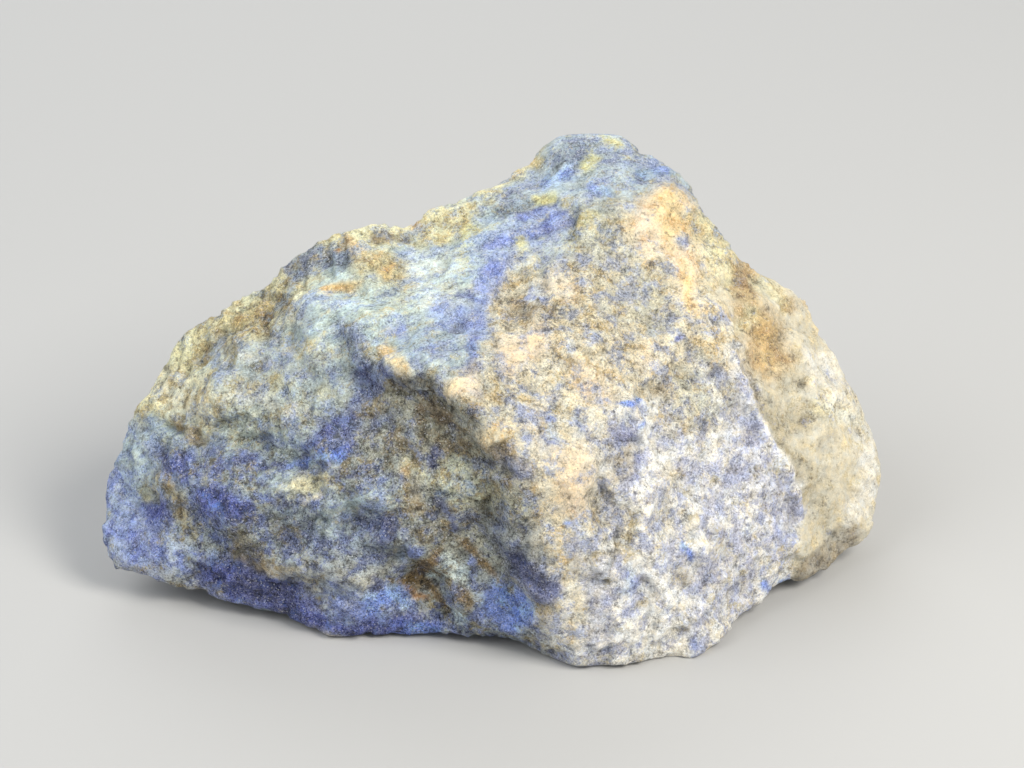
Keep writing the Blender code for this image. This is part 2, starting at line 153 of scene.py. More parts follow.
ROCKS = {
    "beige": Rock((222, 215, 194), 0.27, (152, 160, 184), 0.22, (216, 194, 144), 0.07, 0.75),
    "cream": Rock((224, 214, 188), 0.1, (172, 178, 194), 0.16, (212, 184, 130), 0.06, 0.5),
    "peach": Rock((224, 206, 178), 0.03, (180, 178, 190), 0.1, (222, 184, 142), 0.03, 0.35, relief=0.6),
    "orange": Rock((228, 206, 158), 0.03, (170, 176, 190), 0.35, (222, 178, 112), 0.04, 0.4),
    "ochre": Rock((220, 186, 116), 0.05, (150, 158, 170), 0.4, (198, 144, 70), 0.06, 0.5),
    "brown": Rock((142, 124, 94), 0.08, (110, 112, 124), 0.4, (108, 84, 54), 0.2, 0.7),
    "ice": Rock((184, 201, 198), 0.34, (142, 164, 196), 0.12, (200, 192, 148), 0.06, 0.5, 0.7, 0.7),
    "steel": Rock((170, 186, 194), 0.38, (134, 152, 190), 0.14, (188, 182, 138), 0.04, 0.5, 0.7, 0.8),
    "dark_steel": Rock((128, 142, 158), 0.5, (84, 100, 142), 0.12, (140, 130, 98), 0.1, 1.0, 0.2),
    "blue_grey": Rock((162, 176, 182), 0.48, (88, 112, 178), 0.18, (144, 136, 100), 0.12, 1.2),
    "brown_grey": Rock((168, 166, 146), 0.2, (110, 122, 148), 0.28, (136, 118, 84), 0.18, 1.1),
    "olive": Rock((122, 120, 96), 0.16, (84, 94, 120), 0.3, (98, 86, 56), 0.2, 1.0),
    "slate": Rock((106, 110, 116), 0.4, (66, 78, 112), 0.2, (92, 82, 62), 0.16, 1.0),
    "khaki": Rock((210, 216, 190), 0.3, (156, 178, 192), 0.22, (188, 174, 120), 0.08, 0.8, 0.3),
    "pale_khaki": Rock((224, 219, 176), 0.1, (170, 182, 188), 0.3, (196, 176, 118), 0.07, 0.6),
    "speckle_brown": Rock((206, 196, 168), 0.18, (144, 150, 166), 0.36, (160, 134, 92), 0.14, 0.9),
    "salt": Rock((234, 234, 232), 0.42, (194, 199, 224), 0.1, (214, 204, 176), 0.04, 0.5, relief=0.8,
        flute=0.7),
    "grey": Rock((198, 198, 180), 0.35, (158, 165, 184), 0.14, (196, 180, 138), 0.07, 0.75),
    "lavender": Rock((196, 197, 206), 0.45, (158, 163, 194), 0.08, (176, 164, 134), 0.08, 0.55),
    "pale_lavender": Rock((212, 215, 226), 0.42, (172, 180, 216), 0.06, (212, 202, 174), 0.05, 0.55,
        relief=0.8),
    "white": Rock((240, 239, 234), 0.08, (180, 184, 206), 0.06, (212, 202, 172), 0.04, 0.5),
    "periwinkle": Rock((158, 174, 216), 0.7, (108, 130, 204), 0.05, (180, 174, 146), 0.05, 0.6, 0.3, 0.6),
    "pale_blue": Rock((182, 197, 218), 0.5, (118, 140, 206), 0.08, (182, 174, 136), 0.06, 0.7),
    "ultramarine": Rock((90, 118, 196), 0.8, (40, 66, 174), 0.04, (124, 118, 100), 0.08, 1.1),
    "royal": Rock((164, 202, 254), 0.75, (102, 146, 248), 0.03, (150, 144, 118), 0.05, 0.9, relief=0.6),
    "navy": Rock((60, 80, 144), 0.85, (28, 46, 120), 0.03, (90, 80, 60), 0.14, 1.0),
    "rust": Rock((148, 122, 76), 0.03, (90, 90, 120), 0.5, (106, 80, 40), 0.3, 1.3),
    "red_rust": Rock((184, 138, 80), 0.03, (120, 120, 150), 0.45, (166, 102, 44), 0.12, 0.8),
    "mint": Rock((228, 242, 240), 0.2, (160, 182, 200), 0.06, (150, 136, 104), 0.08, 0.9, relief=0.5),
    "straw": Rock((202, 192, 148), 0.14, (150, 164, 172), 0.3, (166, 142, 88), 0.12, 0.9),
    "lime": Rock((204, 202, 150), 0.16, (150, 170, 190), 0.3, (186, 176, 108), 0.05, 0.5, 0.6),
    "calcite": Rock((194, 188, 170), 0.0, (150, 158, 190), 0.12, (206, 192, 156), 0.02, 0.12, relief=0.7),
    "calcite_brown": Rock((194, 170, 128), 0.0, (150, 158, 190), 0.3, (170, 130, 76), 0.1, 0.5, relief=0.7),
    "calcite_grey": Rock((178, 171, 150), 0.0, (150, 158, 190), 0.14, (148, 136, 106), 0.06, 0.3,
        relief=0.7),
    "calcite_shade": Rock((150, 142, 128), 0.0, (110, 110, 120), 0.2, (116, 104, 84), 0.12, 0.4, relief=0.7),
    "shadow": Rock((66, 62, 52), 0.05, (50, 52, 80), 0.1, (70, 56, 34), 0.3, 0.4),
}

# Strokes over the show side, painted in this order: the rock, its strength, how soft the stroke's
# edge is as a share of its radius, then the strokes, each a radius and a run of (across, up) points
SHOW_STROKES = [
    # Broad grounds
    ("blue_grey", 0.9, 0.5, (12.5, (-42, -9), (-30, -12), (-18, -10), (-8, -10), (-1, -18), (2, -25))),
    ("brown_grey", 0.8, 0.9, (7.5, (-10, -3), (-3, -7), (0, -16))),
    ("khaki", 0.9, 0.5, (5, (-44, -1), (-38, 5), (-30, 11), (-24, 16), (-20, 19))),
    ("khaki", 0.8, 0.8, (4.5, (-41, -2), (-34, 0), (-27, 2), (-20, 4))),
    ("ice", 0.95, 0.5, (6.6, (-26, 11), (-16, 13), (-8, 15), (-2, 20)), (4, (-13, 9), (-5, 8))),
    ("steel", 0.95, 0.5, (6, (3, 25), (10, 29), (18, 30), (21, 28)), (4, (6, 22), (12, 22))),
    ("steel", 0.8, 0.9, (2.8, (-9, 7.6), (-5, 6), (-2.4, 8.4))),
    ("dark_steel", 0.35, 0.9, (2, (-8, 7.4), (-3, 8.8))),
    ("cream", 0.6, 0.9, (6, (22, 16), (27, 12), (29, 4)), (4.5, (6, -4), (10, -12), (9, -24))),
    ("salt", 0.9, 0.7, (8.5, (22, -8), (30, -10), (33, -18), (24, -24), (15, -27))),
    ("pale_lavender", 0.7, 0.8, (2.6, (30.4, 1), (33, -6), (36, -10), (37.4, -16))),
    ("calcite", 1.0, 0.15, (5.6, (33, 17), (36, 9.6), (39, 2), (42.3, -5), (45, -11), (45.2, -18),
        (43.6, -22))),
    ("calcite", 1.0, 0.3, (2.6, (33, 8), (35, 3))),
    # The rim and the bands along the top left
    ("pale_khaki", 0.8, 0.6, (2.2, (-44, -1), (-40, 4), (-34, 9), (-28, 13), (-24, 17))),
    ("pale_khaki", 0.8, 0.6, (1.8, (-22, 20.5), (-17, 20.5), (-10, 20.8), (-4, 23))),
    ("pale_khaki", 0.7, 0.7, (2.2, (-41, 0), (-38, -2)), (1.4, (-26, 4), (-21, 5.4)),
        (1, (-30, 4), (-27, 5))),
    ("dark_steel", 0.8, 0.6, (1.5, (-25, 16.5), (-21.5, 17.5), (-18.8, 17.8)),
        (1.2, (-28, 9.4), (-26.6, 8.4))),
    ("dark_steel", 0.6, 0.7, (1.3, (-25.6, 7.8)), (1.1, (-22.8, 11)), (1.2, (-33, 6)), (1, (-41.6, 3.4))),
    ("brown", 0.7, 0.7, (0.8, (-27.5, 13), (-25, 12.2)), (0.5, (-14, 19.9), (-10.6, 19.8))),
    ("steel", 0.6, 0.8, (1.3, (-27, 11.6), (-23, 11))),
    ("ochre", 0.8, 0.7, (0.45, (-31, 9.6), (-27.4, 12.2)), (0.7, (-20.6, 14), (-17.4, 13.7)),
        (0.6, (-34, 7.4))),
    ("orange", 0.7, 0.8, (1, (-17.6, 19.4), (-17.4, 18.2), (-15, 17)), (0.6, (-15, 17), (-13, 16.2))),
    ("red_rust", 0.7, 0.6, (0.35, (-28.6, 11.2), (-27.6, 12)), (0.5, (-35.4, 5.2)), (0.45, (-19.4, 18.5))),
    ("straw", 0.8, 0.8, (2.4, (-34, 7), (-29, 9), (-26, 12)), (2, (-16, 16.4), (-12, 15.2))),
    ("pale_khaki", 0.6, 0.9, (2.4, (-40, 1.4), (-36, 0.6), (-33, 2.4))),
    ("ochre", 0.7, 0.7, (0.7, (-13.4, 16), (-14, 15)), (0.8, (-9, 21.4))),
    ("pale_khaki", 0.85, 0.7, (1, (-1, 25), (2.5, 28), (5.8, 32.4))),
    ("ochre", 0.4, 0.8, (0.7, (1.6, 27.4), (4, 30))),
    ("shadow", 0.9, 0.5, (0.45, (-40, 2.9))),
    ("brown", 0.5, 0.7, (1.4, (-33, 6.4)), (0.9, (-29, 1.6))),
    ("steel", 0.75, 0.9, (3.4, (-32, 3.4), (-26, 4.6), (-20, 3.4))),
    ("blue_grey", 0.3, 0.9, (2.6, (-29, 2), (-22, 3), (-18, 5))),
    ("white", 0.35, 0.8, (0.8, (-32, 0.5), (-28, 0), (-24, -0.6)), (0.6, (-30.6, 5), (-26.5, 3.8))),
    ("pale_khaki", 0.85, 0.9, (2.6, (-40, 0.8), (-36, -0.8))),
    ("white", 0.35, 0.9, (2.4, (-39, 0.6), (-36, -0.4))),
    ("straw", 0.5, 0.9, (1.7, (-31.6, 8), (-28.8, 9.2))),
    ("pale_khaki", 0.5, 0.8, (0.9, (-24, 6.8), (-21, 7.6)), (0.9, (-27, 1.6), (-25, 2.6)),
        (0.8, (-20, 1.4))),
    ("periwinkle", 0.6, 0.8, (0.9, (-11.7, 9.4)), (1.1, (-7.2, 10.6), (-4.4, 10)), (0.9, (-8, 6.6))),
    # The upper face and the peak
    # Painted highlight: white patches on the upper face
    ("white", 0.25, 0.9, (1.8, (-10, 16), (-5, 17.5)), (0.9, (-9, 12), (-5, 13.5))),
    ("cream", 0.6, 0.8, (0.6, (2.4, 16), (4, 15))),
    ("periwinkle", 0.6, 0.9, (1.3, (8.6, 23), (5.5, 23)), (1.7, (3.4, 21), (1.6, 18), (0.4, 14.5))),
    ("periwinkle", 0.85, 0.6, (0.6, (2.6, 22.6), (6.6, 24.4)), (0.7, (0.2, 18), (3.8, 20.2))),
    ("periwinkle", 0.85, 0.6, (0.7, (-1.6, 14), (1.6, 16)), (0.6, (4.6, 21.2), (9.4, 23.2))),
    ("steel", 0.55, 0.7, (0.45, (0.6, 20.4), (4.4, 22.2)), (0.4, (-0.6, 16.2), (2.4, 17.6))),
    ("periwinkle", 0.75, 0.8, (1.3, (0.4, 14.5), (-1.4, 11), (-2, 8)), (1, (10, 22.4), (8, 23.4))),
    ("ultramarine", 0.6, 0.8, (0.7, (-4, 12.3), (-1, 12)), (0.8, (-2.3, 6.2), (-2.3, 4.6)),
        (0.8, (7.4, 22.4))),
    ("dark_steel", 0.25, 0.9, (3.4, (12, 30), (18, 31))),
    ("lime", 0.9, 0.7, (0.7, (5.6, 25.6), (8.4, 25.3)), (0.9, (10.8, 21.2), (13, 22.6)), (1.2, (12, 29.5))),
    ("lime", 0.8, 0.7, (0.7, (-3, 21.5), (-2.4, 18)), (0.6, (3.4, 20), (4.2, 18.6)),
        (0.7, (13.4, 32), (15, 32))),
    ("royal", 0.45, 0.8, (0.9, (7, 28), (9.4, 28)), (0.8, (19, 28.8), (21, 29)), (1.2, (14, 26.4))),
    ("dark_steel", 0.6, 0.8, (0.9, (11, 30.6), (8.8, 30)), (1.1, (3, 24.6), (1, 23.6)),
        (0.8, (14.6, 23.6))),
    ("peach", 1.0, 0.6, (2.7, (19.6, 21), (22, 24), (23, 20)), (1.6, (24, 18.4), (24.4, 13))),
    ("orange", 0.95, 0.8, (1.5, (22, 25), (23.4, 21.6), (23, 20)), (1, (24.2, 15.6), (24.8, 12))),
    ("pale_khaki", 0.7, 0.8, (1.6, (26, 22), (29, 17), (32, 13.5))),
    # The right face
    ("grey", 0.45, 0.8, (3.6, (12.5, 20), (15, 17.4), (16.6, 13)), (2.4, (9, 19), (12, 16))),
    ("lavender", 0.4, 0.9, (1.2, (11.6, 19))),
    ("cream", 0.8, 0.9, (2.4, (17.6, 14.6), (20, 13))),
    ("straw", 0.45, 0.9, (2.2, (12.6, 21.4), (15, 21))),
    ("speckle_brown", 0.65, 0.9, (2, (2.6, 12.4), (6, 11.2), (9, 10.8))),
    ("speckle_brown", 0.4, 0.9, (2.4, (12.6, 6.4), (15, 5)), (2.2, (25, 0.6), (27.4, -1))),
    ("speckle_brown", 0.5, 0.9, (1.8, (19, 2), (22, 1), (24, -2)), (1.5, (12.5, -11), (14, -14.4))),
    ("cream", 0.7, 0.9, (2.4, (12, 5.6), (15, 4.4))),
    ("peach", 0.6, 0.9, (1.6, (11, 2.4), (13, 0.4)), (1.2, (8, 15.6), (9.4, 13.4)), (1.4, (20, 5))),
    ("pale_lavender", 0.5, 0.9, (1.6, (4, -1), (6, -5))),
    ("brown", 0.5, 0.9, (1.2, (4, 11.6), (5.6, 11)), (1.5, (16.3, -7.4)), (0.9, (21, 0.4)),
        (0.9, (9.6, 4))),
    ("pale_blue", 0.7, 0.7, (1, (24, 19)), (1, (28, 10.4)), (0.9, (20.4, 8.9)), (0.9, (30, 6.4))),
    ("pale_blue", 0.6, 0.7, (0.8, (6.4, 15), (6.6, 13)), (1, (13, 7.6)), (0.9, (5.4, 6)), (0.8, (10, 6))),
    ("ultramarine", 0.75, 0.6, (0.6, (23.9, 7.1)), (0.4, (22.6, 10.6)), (0.6, (-1.6, 1.9))),
    ("white", 0.5, 0.8, (1.2, (15.4, -1.8), (16.6, -3.8))),
    ("royal", 0.95, 0.5, (0.45, (17.6, -0.2), (18.6, -1.8), (18.4, -3.4)), (0.4, (15, -0.4), (16.2, -0.8))),
    ("ultramarine", 0.45, 0.8, (0.9, (15.4, -4.4), (17, -4.6)), (0.6, (18, -7), (18, -8.4))),
    ("pale_blue", 0.7, 0.8, (0.7, (7.4, -1), (7.8, -4)), (0.7, (4, -3.4)),
        (0.6, (10.6, -1.6), (10.8, -3.6))),
    ("peach", 1.0, 0.8, (2.8, (9.4, -8), (10, -11.4)), (1.2, (-4, 2), (-2.6, 2.6)),
        (1.7, (3, 5), (6, 7.4))),
    ("orange", 0.7, 0.8, (0.9, (0.4, -2.2), (1, -3.2)), (1, (-4.6, 2.2)), (0.5, (6.2, -8.4))),
    ("grey", 0.7, 0.9, (2.4, (25.6, 0.8), (27, -1)), (2.4, (18, 14), (21, 11))),
    ("lavender", 0.7, 0.8, (1.4, (23, -8.8)), (1, (32, -5)), (1.3, (25.6, -27)), (0.9, (32.5, -20.3))),
    ("lavender", 0.7, 0.8, (0.9, (10.4, -18), (10.2, -21)), (2.2, (14.4, -22), (13.6, -29)),
        (1.2, (29, -16))),
    ("pale_blue", 0.8, 0.7, (1.1, (18.4, -22), (18.2, -23.6)), (0.7, (18.1, -27)), (0.8, (26, -29))),
    ("royal", 0.85, 0.6, (0.5, (9.4, -15.3)), (0.4, (25, -18.4), (25, -19.4)), (0.8, (17.6, -31))),
    ("slate", 0.6, 0.7, (0.6, (16.4, -17), (16, -20)), (0.6, (5, -9.6), (5.4, -10.6))),
    ("brown", 0.4, 0.8, (1, (23.2, -22.4)), (0.6, (19, -26.4)), (0.8, (15.6, -28.6)), (1.4, (7, -27))),
    ("lavender", 0.45, 0.9, (2.4, (27, -22), (31, -23)), (1.8, (27, -10), (34, -10), (37, -13))),
    ("cream", 0.8, 0.7, (1.2, (8, -19.6), (8.6, -22.6), (11, -25), (11, -30)),
        (0.8, (21, -10), (21.4, -8))),
    # White runs along the right face's ridges: partly pale mineral and partly painted highlight on the ridge
    # tops
    ("white", 0.8, 0.7, (0.6, (18, -1), (19.6, -4.4), (21, -8.4)), (0.7, (25, -13.4), (26.6, -18))),
    ("white", 0.6, 0.9, (1.1, (29.6, 5.4), (32, 0), (35, -5), (38.6, -10)), (0.8, (26, 3), (28.6, -2))),
    ("white", 0.8, 0.7, (0.6, (19.4, -13), (19, -16.4)), (0.7, (20.3, -22.4), (22, -25.4))),
    ("white", 1.0, 0.8, (2.6, (17.6, -29.6), (22, -29.4))),
    # The calcite end
    ("calcite_brown", 0.85, 0.8, (2.4, (33.2, 8.6), (34, 5.4)), (1.6, (32, 15.4), (31.6, 12)),
        (1, (38, 12))),
    ("ochre", 0.35, 0.9, (1.4, (33.6, 8), (34.6, 5.6))),
    ("brown", 0.45, 0.8, (0.8, (31.4, 14.8)), (0.8, (32, 2.4), (33, -0.6)), (0.8, (35, 6.6))),
    ("calcite_grey", 0.9, 0.8, (1.5, (33.8, -1), (36, -2.6), (42, -1.6)), (1.1, (36.8, -4.8), (39.6, -9))),
    ("calcite_grey", 0.75, 0.8, (1.4, (40.8, -9), (41.6, -13)), (1.1, (36.4, 3), (38.6, 2.2)),
        (1, (42, -15))),
    ("calcite_shade", 0.85, 0.8, (1.6, (39.8, -21.6), (43.2, -20.6), (46, -18)), (0.8, (34.6, 14.6))),
    ("pale_khaki", 0.5, 0.8, (1.2, (42.6, -0.6), (45, -2.6)), (1.2, (31.6, 10)),
        (1, (34.6, 14.4), (37, 12))),
    ("shadow", 0.5, 0.8, (0.5, (38.6, 2)), (0.5, (40.4, -2.2)), (0.5, (42.4, -16.8), (43.6, -17.2))),
    ("white", 0.5, 0.8, (1.4, (42, 4), (45.4, -3), (47.4, -10), (46.6, -15)), (1, (39.6, 5), (41, 3))),
    ("royal", 0.8, 0.6, (0.8, (34.6, -22.6)), (0.6, (37, -22.8))),
    # The face beside the crest: its dark strokes under the ledge and along the crest's left side are partly
    # dark mineral and partly painted shade
    # Partly painted shade: slate under the ledge and along the crest's lower left side
    ("slate", 0.55, 0.8, (0.9, (-12, 2.6), (-7.4, 2.4)), (1.6, (2, -18.6), (4, -20))),
    ("brown_grey", 0.6, 0.9, (2.6, (-11, -15.6), (-7, -19)), (2, (-6, -4), (-2, -6))),
    # Partly painted shade: navy along the crest's left side
    ("navy", 0.55, 0.8, (0.9, (2.2, -5.8), (3.8, -8.8))),
    ("pale_khaki", 0.5, 0.9, (1.3, (-0.4, -11.4), (3, -13)), (0.8, (-9.6, -8.6), (-8, -10))),
    # Partly painted shade: olive in the shadow under the ledge and beside the crest
    ("olive", 0.7, 0.7, (0.7, (-12.8, 0.9), (-10, 0.8)), (1.1, (-6.4, 0.6), (-4.6, -0.6)),
        (1, (0.6, -7.6))),
    # Partly painted shade: brown under the ledge and along the crest's underside
    ("brown", 0.8, 0.8, (1.1, (-6.6, -0.8), (-5, -2)), (0.8, (-8.4, -1)), (0.7, (0, -4.6), (1.6, -6))),
    ("brown", 0.5, 0.8, (0.9, (-9, -11), (-8.6, -14)), (0.5, (-3.6, -18.4), (-2.6, -19.6)),
        (0.4, (-1.4, -8.2))),
    ("dark_steel", 0.7, 0.8, (1.5, (-12.8, -2.6)), (1.7, (-17, 8), (-16, 5.4), (-15, 2.6)),
        (0.9, (-9, -5))),
    ("ultramarine", 0.5, 0.8, (1.4, (-16, 3.6), (-14.6, 3)), (1, (-16, 1), (-16.4, -1.6), (-17, -4))),
    ("navy", 0.7, 0.7, (0.45, (-6.6, -6.2), (-7.2, -8.2)), (0.6, (-12.4, -11.4)),
        (0.7, (-5.8, -13.2), (-4.2, -17))),
    ("orange", 0.7, 0.8, (1, (-12.6, 6), (-12, 4.4)), (0.7, (-10.4, -9.4))),
    ("khaki", 0.6, 0.8, (1.6, (-4, -8), (-1, -11)), (1.2, (-6, -10), (-3, -13))),
    # Partly painted shade: dark steel along the crest's lower left side
    ("dark_steel", 0.5, 0.9, (2.5, (1.6, -15), (3.6, -17), (4.4, -20))),
    # Partly the pale face's own colour and partly painted light: a cream run along the crest's lit right side
    ("cream", 0.6, 0.9, (1.6, (-1, 1), (1.8, -3.4), (5.6, -6.6), (7, -11), (7.6, -16), (9.8, -22))),
    # The blue left face
    ("ultramarine", 0.65, 0.7, (0.9, (-22.4, -5.6), (-20, -4), (-17.6, -2)),
        (0.8, (-19.6, -7), (-17, -6.4))),
    ("royal", 0.6, 0.7, (0.8, (-20.4, -7.2), (-18.2, -6.5)), (0.6, (-25, -7), (-22.6, -7.4))),
    ("ultramarine", 0.6, 0.8, (1.6, (-41, -8.6), (-37, -9)), (0.9, (-33, -7.6), (-29, -7.4)),
        (0.7, (-43.4, -4.4))),
    ("pale_blue", 0.8, 0.9, (2.4, (-45, -5), (-44.6, -10.4))),
    ("ice", 0.3, 0.9, (2, (-45, -6), (-44, -9.6))),
    ("dark_steel", 0.5, 0.9, (3.2, (-24, -16), (-20, -17.6), (-16, -18))),
    ("ultramarine", 0.9, 0.7, (1.6, (-35.6, -12.6), (-31.4, -13)), (0.8, (-29.8, -12.6)),
        (1.6, (-44, -13), (-41, -14))),
    ("pale_blue", 0.9, 0.7, (2.8, (-47, -8), (-46.4, -14), (-44, -18.4), (-39, -19))),
    ("ice", 0.6, 0.8, (1.4, (-47, -3), (-46.6, -6)), (1.2, (-42, -4), (-37, -5.6))),
    ("periwinkle", 0.5, 0.9, (2.2, (-45.4, -15.4), (-43, -20))),
    ("ultramarine", 0.3, 0.9, (2, (-45, -17), (-42, -20.4))),
    ("ice", 0.7, 0.9, (1.8, (-45, -6.6), (-43.6, -10))),
    ("straw", 0.35, 0.9, (1, (-43.4, -10.6), (-41, -12))),
    # Painted light: ice along the hollow below the upper-left face, lifting its shade
    ("ice", 0.5, 0.9, (1.7, (-40, -4.2), (-32, -5), (-24, -4.4))),
    ("ultramarine", 0.95, 0.6, (2.8, (-33, -21.4), (-29, -23.5), (-24, -26.4)),
        (1.6, (-22, -27), (-8, -28.6))),
    ("navy", 0.75, 0.8, (1.8, (-31, -22), (-28, -23.6), (-25, -26)), (0.8, (-33, -13.4))),
    ("navy", 0.8, 0.7, (1.1, (-14, -15.2), (-14.2, -17))),
    ("brown", 0.7, 0.8, (0.9, (-37.4, -3), (-35.6, -5)), (0.7, (-32.4, -17.8), (-30, -20), (-28, -21.4))),
    ("straw", 0.8, 0.7, (0.8, (-41.6, -9.6), (-39.8, -12), (-39, -13.8), (-37, -16))),
    ("brown", 0.5, 0.8, (0.7, (-40.4, -10.6), (-38.4, -14.4)), (0.9, (-31.4, -16.4), (-28.6, -20))),
    ("cream", 0.6, 0.8, (0.7, (-29, -20.4), (-24.6, -21.6))),
    ("olive", 0.7, 0.7, (1.1, (-26.4, -15)), (1, (-30.4, -16)), (0.7, (-31.6, -18.4))),
    ("cream", 0.7, 0.7, (0.5, (-26, -9.6), (-19.6, -9.8)), (0.45, (-22.4, -11.8), (-20.6, -11.9)),
        (0.5, (-22.7, -22.4))),
    ("pale_khaki", 0.6, 0.8, (1.1, (-25, -10), (-19.6, -10.2)), (0.7, (-43, -11.4)), (0.8, (-35, -10))),
    ("ice", 0.6, 0.8, (1.1, (-28, -9.6), (-25, -9)), (1.6, (-20, -16), (-14, -12))),
    # The patches along the lower edge
    ("rust", 0.95, 0.5, (1, (-10.6, -23), (-8.6, -22.4), (-7.2, -20.8)),
        (0.8, (-7, -22.4), (-5.8, -25.6))),
    ("rust", 0.9, 0.5, (0.5, (-12.6, -22.6)), (0.6, (-3.6, -23.8), (-2.4, -25)),
        (0.4, (-3, -18.6), (2.4, -25))),
    ("red_rust", 0.9, 0.5, (0.6, (-9.8, -24.4), (-8.4, -25))),
    ("mint", 0.95, 0.4, (1, (-5.6, -21.4), (-3.6, -22.8)), (0.7, (-4.8, -25.8), (-3.8, -27.2))),
    ("pale_blue", 0.8, 0.7, (1.1, (-10.6, -19.6)), (0.8, (-2, -21.4)), (1.4, (-20, -24), (-17, -26))),
    ("pale_blue", 1.0, 0.7, (2.3, (0.6, -26), (4, -27.4))),
    ("royal", 0.85, 0.7, (1.4, (-15.4, -25), (-12, -24.6)), (1.7, (1.2, -25.8), (3.6, -27)),
        (1, (-13, -28.6), (-7, -28.6))),
    ("navy", 0.8, 0.5, (1.3, (4.2, -19.6), (5.8, -22.4), (7, -24.2)), (0.8, (-15, -23)), (0.9, (-24, -28))),
]

# Strokes over the hidden back, ends and underside, in the same way but as points (x, y, z) in space
HIDDEN_STROKES = [
    ("calcite", 1.0, 0.3, (9.5, (47, -2, 10), (46, 8, 6), (44, 14, 12), (38, 17, 21), (32, 18, 28))),
    ("calcite_brown", 0.8, 0.7, (3, (38, 20, 14), (34, 22, 20)), (2, (44, 12, 5))),
    ("calcite_grey", 0.8, 0.7, (3.5, (40, 16, 6), (34, 20, 5)), (2, (36, 20, 26), (32, 22, 22))),
    ("khaki", 0.85, 0.4, (4.6, (-30, 12, 22), (-18, 17, 29), (-8, 19, 32)),
        (3.5, (20, 26, 18), (28, 22, 10))),
    ("pale_khaki", 0.7, 0.5, (1.6, (-24, 14, 24), (-16, 18, 26)), (2, (-36, 8, 18)), (1.4, (24, 24, 15))),
    ("steel", 0.85, 0.4, (6, (14, 24, 44), (20, 24, 36)), (3, (2, 24, 40), (6, 25, 34))),
    ("ice", 0.7, 0.5, (2.2, (16, 24, 40), (22, 24, 34)), (2, (-4, 22, 33))),
    ("ultramarine", 0.8, 0.6, (3.2, (-41, 4, 12), (-34, 10, 8), (-27, 14, 10), (-20, 18, 7),
        (-12, 22, 11))),
    ("navy", 0.6, 0.5, (1.4, (-33, 10, 9), (-26, 14, 8)), (1.2, (-16, 20, 9)), (1.4, (8, 26, 25))),
    ("ultramarine", 0.7, 0.9, (2.4, (12, 25, 32), (8, 26, 28)), (2, (9, 27, 22)),
        (1.4, (16, 26, 23), (20, 25, 25))),
    ("royal", 0.7, 0.5, (1.4, (-24, 15, 14), (-20, 17, 12)), (1.2, (24, 25, 33), (27, 23, 30)),
        (1.3, (0, 25, 18))),
    ("periwinkle", 0.8, 0.4, (1.8, (4, 25, 38), (0, 24, 30), (-5, 22, 26), (-8, 21, 21), (-13, 21, 17))),
    ("white", 0.6, 0.9, (0.8, (-2, 24, 26), (4, 27, 18), (12, 28, 12), (22, 24, 8)),
        (0.6, (-14, 20, 22), (-6, 22, 16))),
    ("cream", 0.8, 0.5, (3.4, (24, 25, 28), (28, 23, 20)), (2.6, (-2, 25, 10), (4, 26, 6)),
        (1.6, (-30, 12, 15))),
    ("rust", 0.85, 0.5, (1.6, (14, 26, 12), (20, 24, 8)), (1.2, (-22, 16, 18)), (0.9, (3, 26, 8))),
    ("orange", 0.7, 0.6, (1.3, (12, 26, 14), (10, 27, 17)), (1, (-20, 16, 20)), (1.2, (-6, 20, 30))),
    ("brown_grey", 0.6, 0.6, (3, (-6, 23, 12), (-16, 20, 5)), (2.2, (20, 26, 30))),
    ("dark_steel", 0.6, 0.6, (1.2, (-28, 13, 19), (-22, 16, 23)), (1.6, (14, 25, 34)), (1.4, (28, 22, 12))),
    ("salt", 0.7, 0.8, (9, (30, -14, 1), (10, -18, 0), (20, 0, 0))),
]

